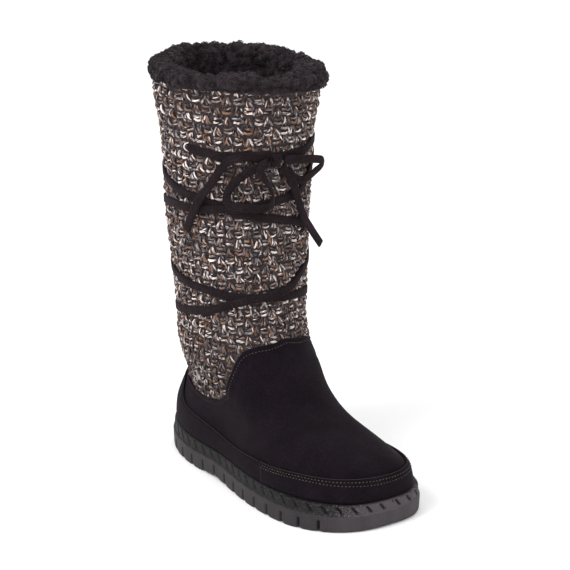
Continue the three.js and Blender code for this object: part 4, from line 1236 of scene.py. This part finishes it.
# %% Side of the sole, row by row
SIDE = np.array([  # share of the height, how far the side stands out there
    (0.0, -0.2), (0.10, 0.1), (0.35, 0.3), (0.56, 0.45), (0.61, 0.25), (0.64, -0.55), (0.70, -0.75),
    (0.92, -0.9), (0.97, -1.15), (1.0, -1.9),
])
SHARES = np.concatenate([np.linspace(0, 0.54, 14), np.linspace(0.56, 0.7, 10), np.linspace(0.72, 1.0, 16)])
STRIP_FROM, STRIP_LOW, STRIP_LOW_SOFT, STRIP_HIGH, STRIP_HIGH_SOFT = 0.6, 0.68, 0.012, 0.96, 0.01
SLASH_PITCH, SLASH_SLANT, SLASH_Z, SLASH_HALF, SLASH_SOFT, SLASH_DEEP = 12, 0.75, 20, 1.05, 0.14, 2.0
SLIT_PAINTED_SHADE, SLIT_DARK_AT, SLASH_PAINTED_SHADE, GLINT_SHAPE, GLINT_SCALE = 0.75, 2, 0.85, 0.5, 2.0
FLOOR_CLEAR = 1.2
foot_line = lowest + FLOOR_CLEAR + lug
side_rows, side_tint = [], []
for share in SHARES:
    height = foot_line + (sole_base[:, 2] - foot_line) * share
    cut = slit_cut * within(height - lowest, SLIT_TOP, SLIT_TOP_SOFT)
    slant = at - SLASH_SLANT * (height - SLASH_Z)
    off_slash = np.abs((slant + SLASH_PITCH / 2) % SLASH_PITCH - SLASH_PITCH / 2)
    strip = within(-share, -STRIP_LOW, STRIP_LOW_SOFT) * within(share, STRIP_HIGH, STRIP_HIGH_SOFT)
    slash = within(off_slash, SLASH_HALF, SLASH_SOFT) * strip
    stand = full_reach + np.interp(share, SIDE[:, 0], SIDE[:, 1]) - cut - SLASH_DEEP * slash
    ring = sole_base + sole_out * stand[:, None]
    ring[:, 2] = height
    side_rows.append(ring)
    on_strip = share > STRIP_FROM
    # Painted glints on the strip: specks of painted highlight, with darker specks between them
    glint = 1 + on_strip * glint_share * (dice.gamma(GLINT_SHAPE, GLINT_SCALE, SOLE_COLUMNS) - 1)
    shade = (strip_tone_and_highlight if on_strip else mottle) * glint
    # Painted shade in the slits and the slashes
    in_slit = np.minimum(1, cut / SLIT_DARK_AT)
    side_tint.append(shade * (1 - SLIT_PAINTED_SHADE * in_slit) * (1 - SLASH_PAINTED_SHADE * slash))
print(len(side_rows), "rows up the side")

# %% Underside, cup and the whole sole
RIB_IN, RIB_DEEP, RIB_PITCH, RIB_WIDE, EDGE_IN = 9, 1.4, 13, 0.55, 0.9
UNDER_SHADE, CUP_PAINTED_SHADE, CUP_ROW = 0.8, 0.48, 0.5
ribs = sole_base + sole_out * (full_reach - RIB_IN)[:, None]
ribs[:, 2] = lowest + RIB_DEEP * (np.cos(ribs[:, 1] * 2 * np.pi / RIB_PITCH) > RIB_WIDE)
under_edge = sole_base + sole_out * (full_reach - EDGE_IN)[:, None]
under_edge[:, 2] = lowest + lug
cup = [skin(sole_phi, w, np.full(SOLE_COLUMNS, SUEDE_OUT + SEAT)) for w in (RIM, CUP_ROW, 0.0)]
cup[-1][:, 2] = CUP_FLOOR
sole_rows = [ribs, under_edge] + side_rows + cup
plain = np.ones(SOLE_COLUMNS)
# The inside of the cup is painted darker: painted shade
sole_tint = np.array([plain * UNDER_SHADE] * 2 + side_tint + [plain * CUP_PAINTED_SHADE] * len(cup))
hand_over("rubber_sole", np.concatenate(sole_rows), slab(sole_rows), RUBBER, "rubber", ["outsole"],
          (sole_tint[..., None] * RUBBER_COLOUR).reshape(-1, 3))

# %% [markdown]
# ## Pull loop
# A short folded band behind the collar helps the foot in. A bent plane with a thickness would do, but
# its ends would meet in a seam. A closed loft of a flat rounded section round a tall oval has no ends.

# %% Pull loop
PULL = {"width": 12.0, "low": 299.0, "high": 333.0, "near": 5.4, "far": 14.6, "band": 1.4}
PULL_STATIONS, BOW_DEEP, BOW_TALL = 96, 0.55, 0.85
pull_back = -loop_points(math.pi, TOP)[1]
turn = np.linspace(0, 2 * np.pi, PULL_STATIONS, endpoint=False)
half_deep = (PULL["far"] - PULL["near"]) / 2 - PULL["band"] / 2
half_tall = (PULL["high"] - PULL["low"]) / 2 - PULL["band"] / 2
oval_y = np.sign(np.cos(turn)) * np.abs(np.cos(turn)) ** BOW_DEEP * half_deep
oval_z = np.sign(np.sin(turn)) * np.abs(np.sin(turn)) ** BOW_TALL * half_tall
pull_mid_y = pull_back + (PULL["near"] + PULL["far"]) / 2
pull_mid_z = (PULL["low"] + PULL["high"]) / 2
pull_path = np.stack([0 * turn + SHIFT[0], -(pull_mid_y + oval_y), pull_mid_z + oval_z], -1)
heading = unit(np.roll(pull_path, -1, axis=0) - np.roll(pull_path, 1, axis=0))
across = np.array([1.0, 0, 0])
pull_out = unit(np.cross(heading, across))
tape = (pull_path[:, None] + across * (CORNER[:, 0] * PULL["width"])[None, :, None]
        + pull_out[:, None] * ((CORNER[:, 1] - 0.5) * PULL["band"])[None, :, None])
hand_over("pull_tape", tape, loft(tape, True), LACE_SUEDE, "lace", ["pull_loop"])

# %% [markdown]
# ## Floor and light
# The picture has a plain pale ground and soft light from high on the left. A curved backdrop is common
# in a studio, but on a floor this large no edge is seen. One plane, a bright even sky and two wide
# lamps give that light, and leave a soft shadow at the sole.

# %% Floor
FLOOR_HALF = 9
floor_mesh = bpy.data.meshes.new("floor")
floor_corners = [(x * FLOOR_HALF, y * FLOOR_HALF, 0) for x, y in ((-1, -1), (1, -1), (1, 1), (-1, 1))]
floor_mesh.from_pydata(floor_corners, [], [(0, 1, 2, 3)])
floor = bpy.data.objects.new("floor", floor_mesh)
floor_finish, _, floor_shader = finish_nodes("pale_floor", roughness=0.9)
floor_shader.inputs["Base Color"].default_value = (0.96, 0.96, 0.96, 1)
floor_mesh.materials.append(floor_finish)
bpy.context.collection.objects.link(floor)
print("floor", 2 * FLOOR_HALF, "m wide")

# %% Sky and lamps
SKY_STRENGTH = 1.05
LAMP_AIM = Vector((0, 0, 0.15))
world = bpy.data.worlds.new("studio")
world.use_nodes = True
world.node_tree.nodes["Background"].inputs["Color"].default_value = (1, 1, 1, 1)
world.node_tree.nodes["Background"].inputs["Strength"].default_value = SKY_STRENGTH
bpy.context.scene.world = world


def lamp(name, place, size, power):
    data = bpy.data.lights.new(name, "AREA")
    data.size = size
    data.energy = power
    made = bpy.data.objects.new(name, data)
    made.location = place
    made.rotation_euler = (LAMP_AIM - Vector(place)).to_track_quat("-Z", "Y").to_euler()
    bpy.context.collection.objects.link(made)


lamp("key_left", place=(1.75, -0.10, 1.95), size=1.2, power=34)
lamp("fill_front", place=(0.3, 2.2, 1.5), size=1.6, power=12)
bpy.context.scene.view_settings.view_transform = "Standard"
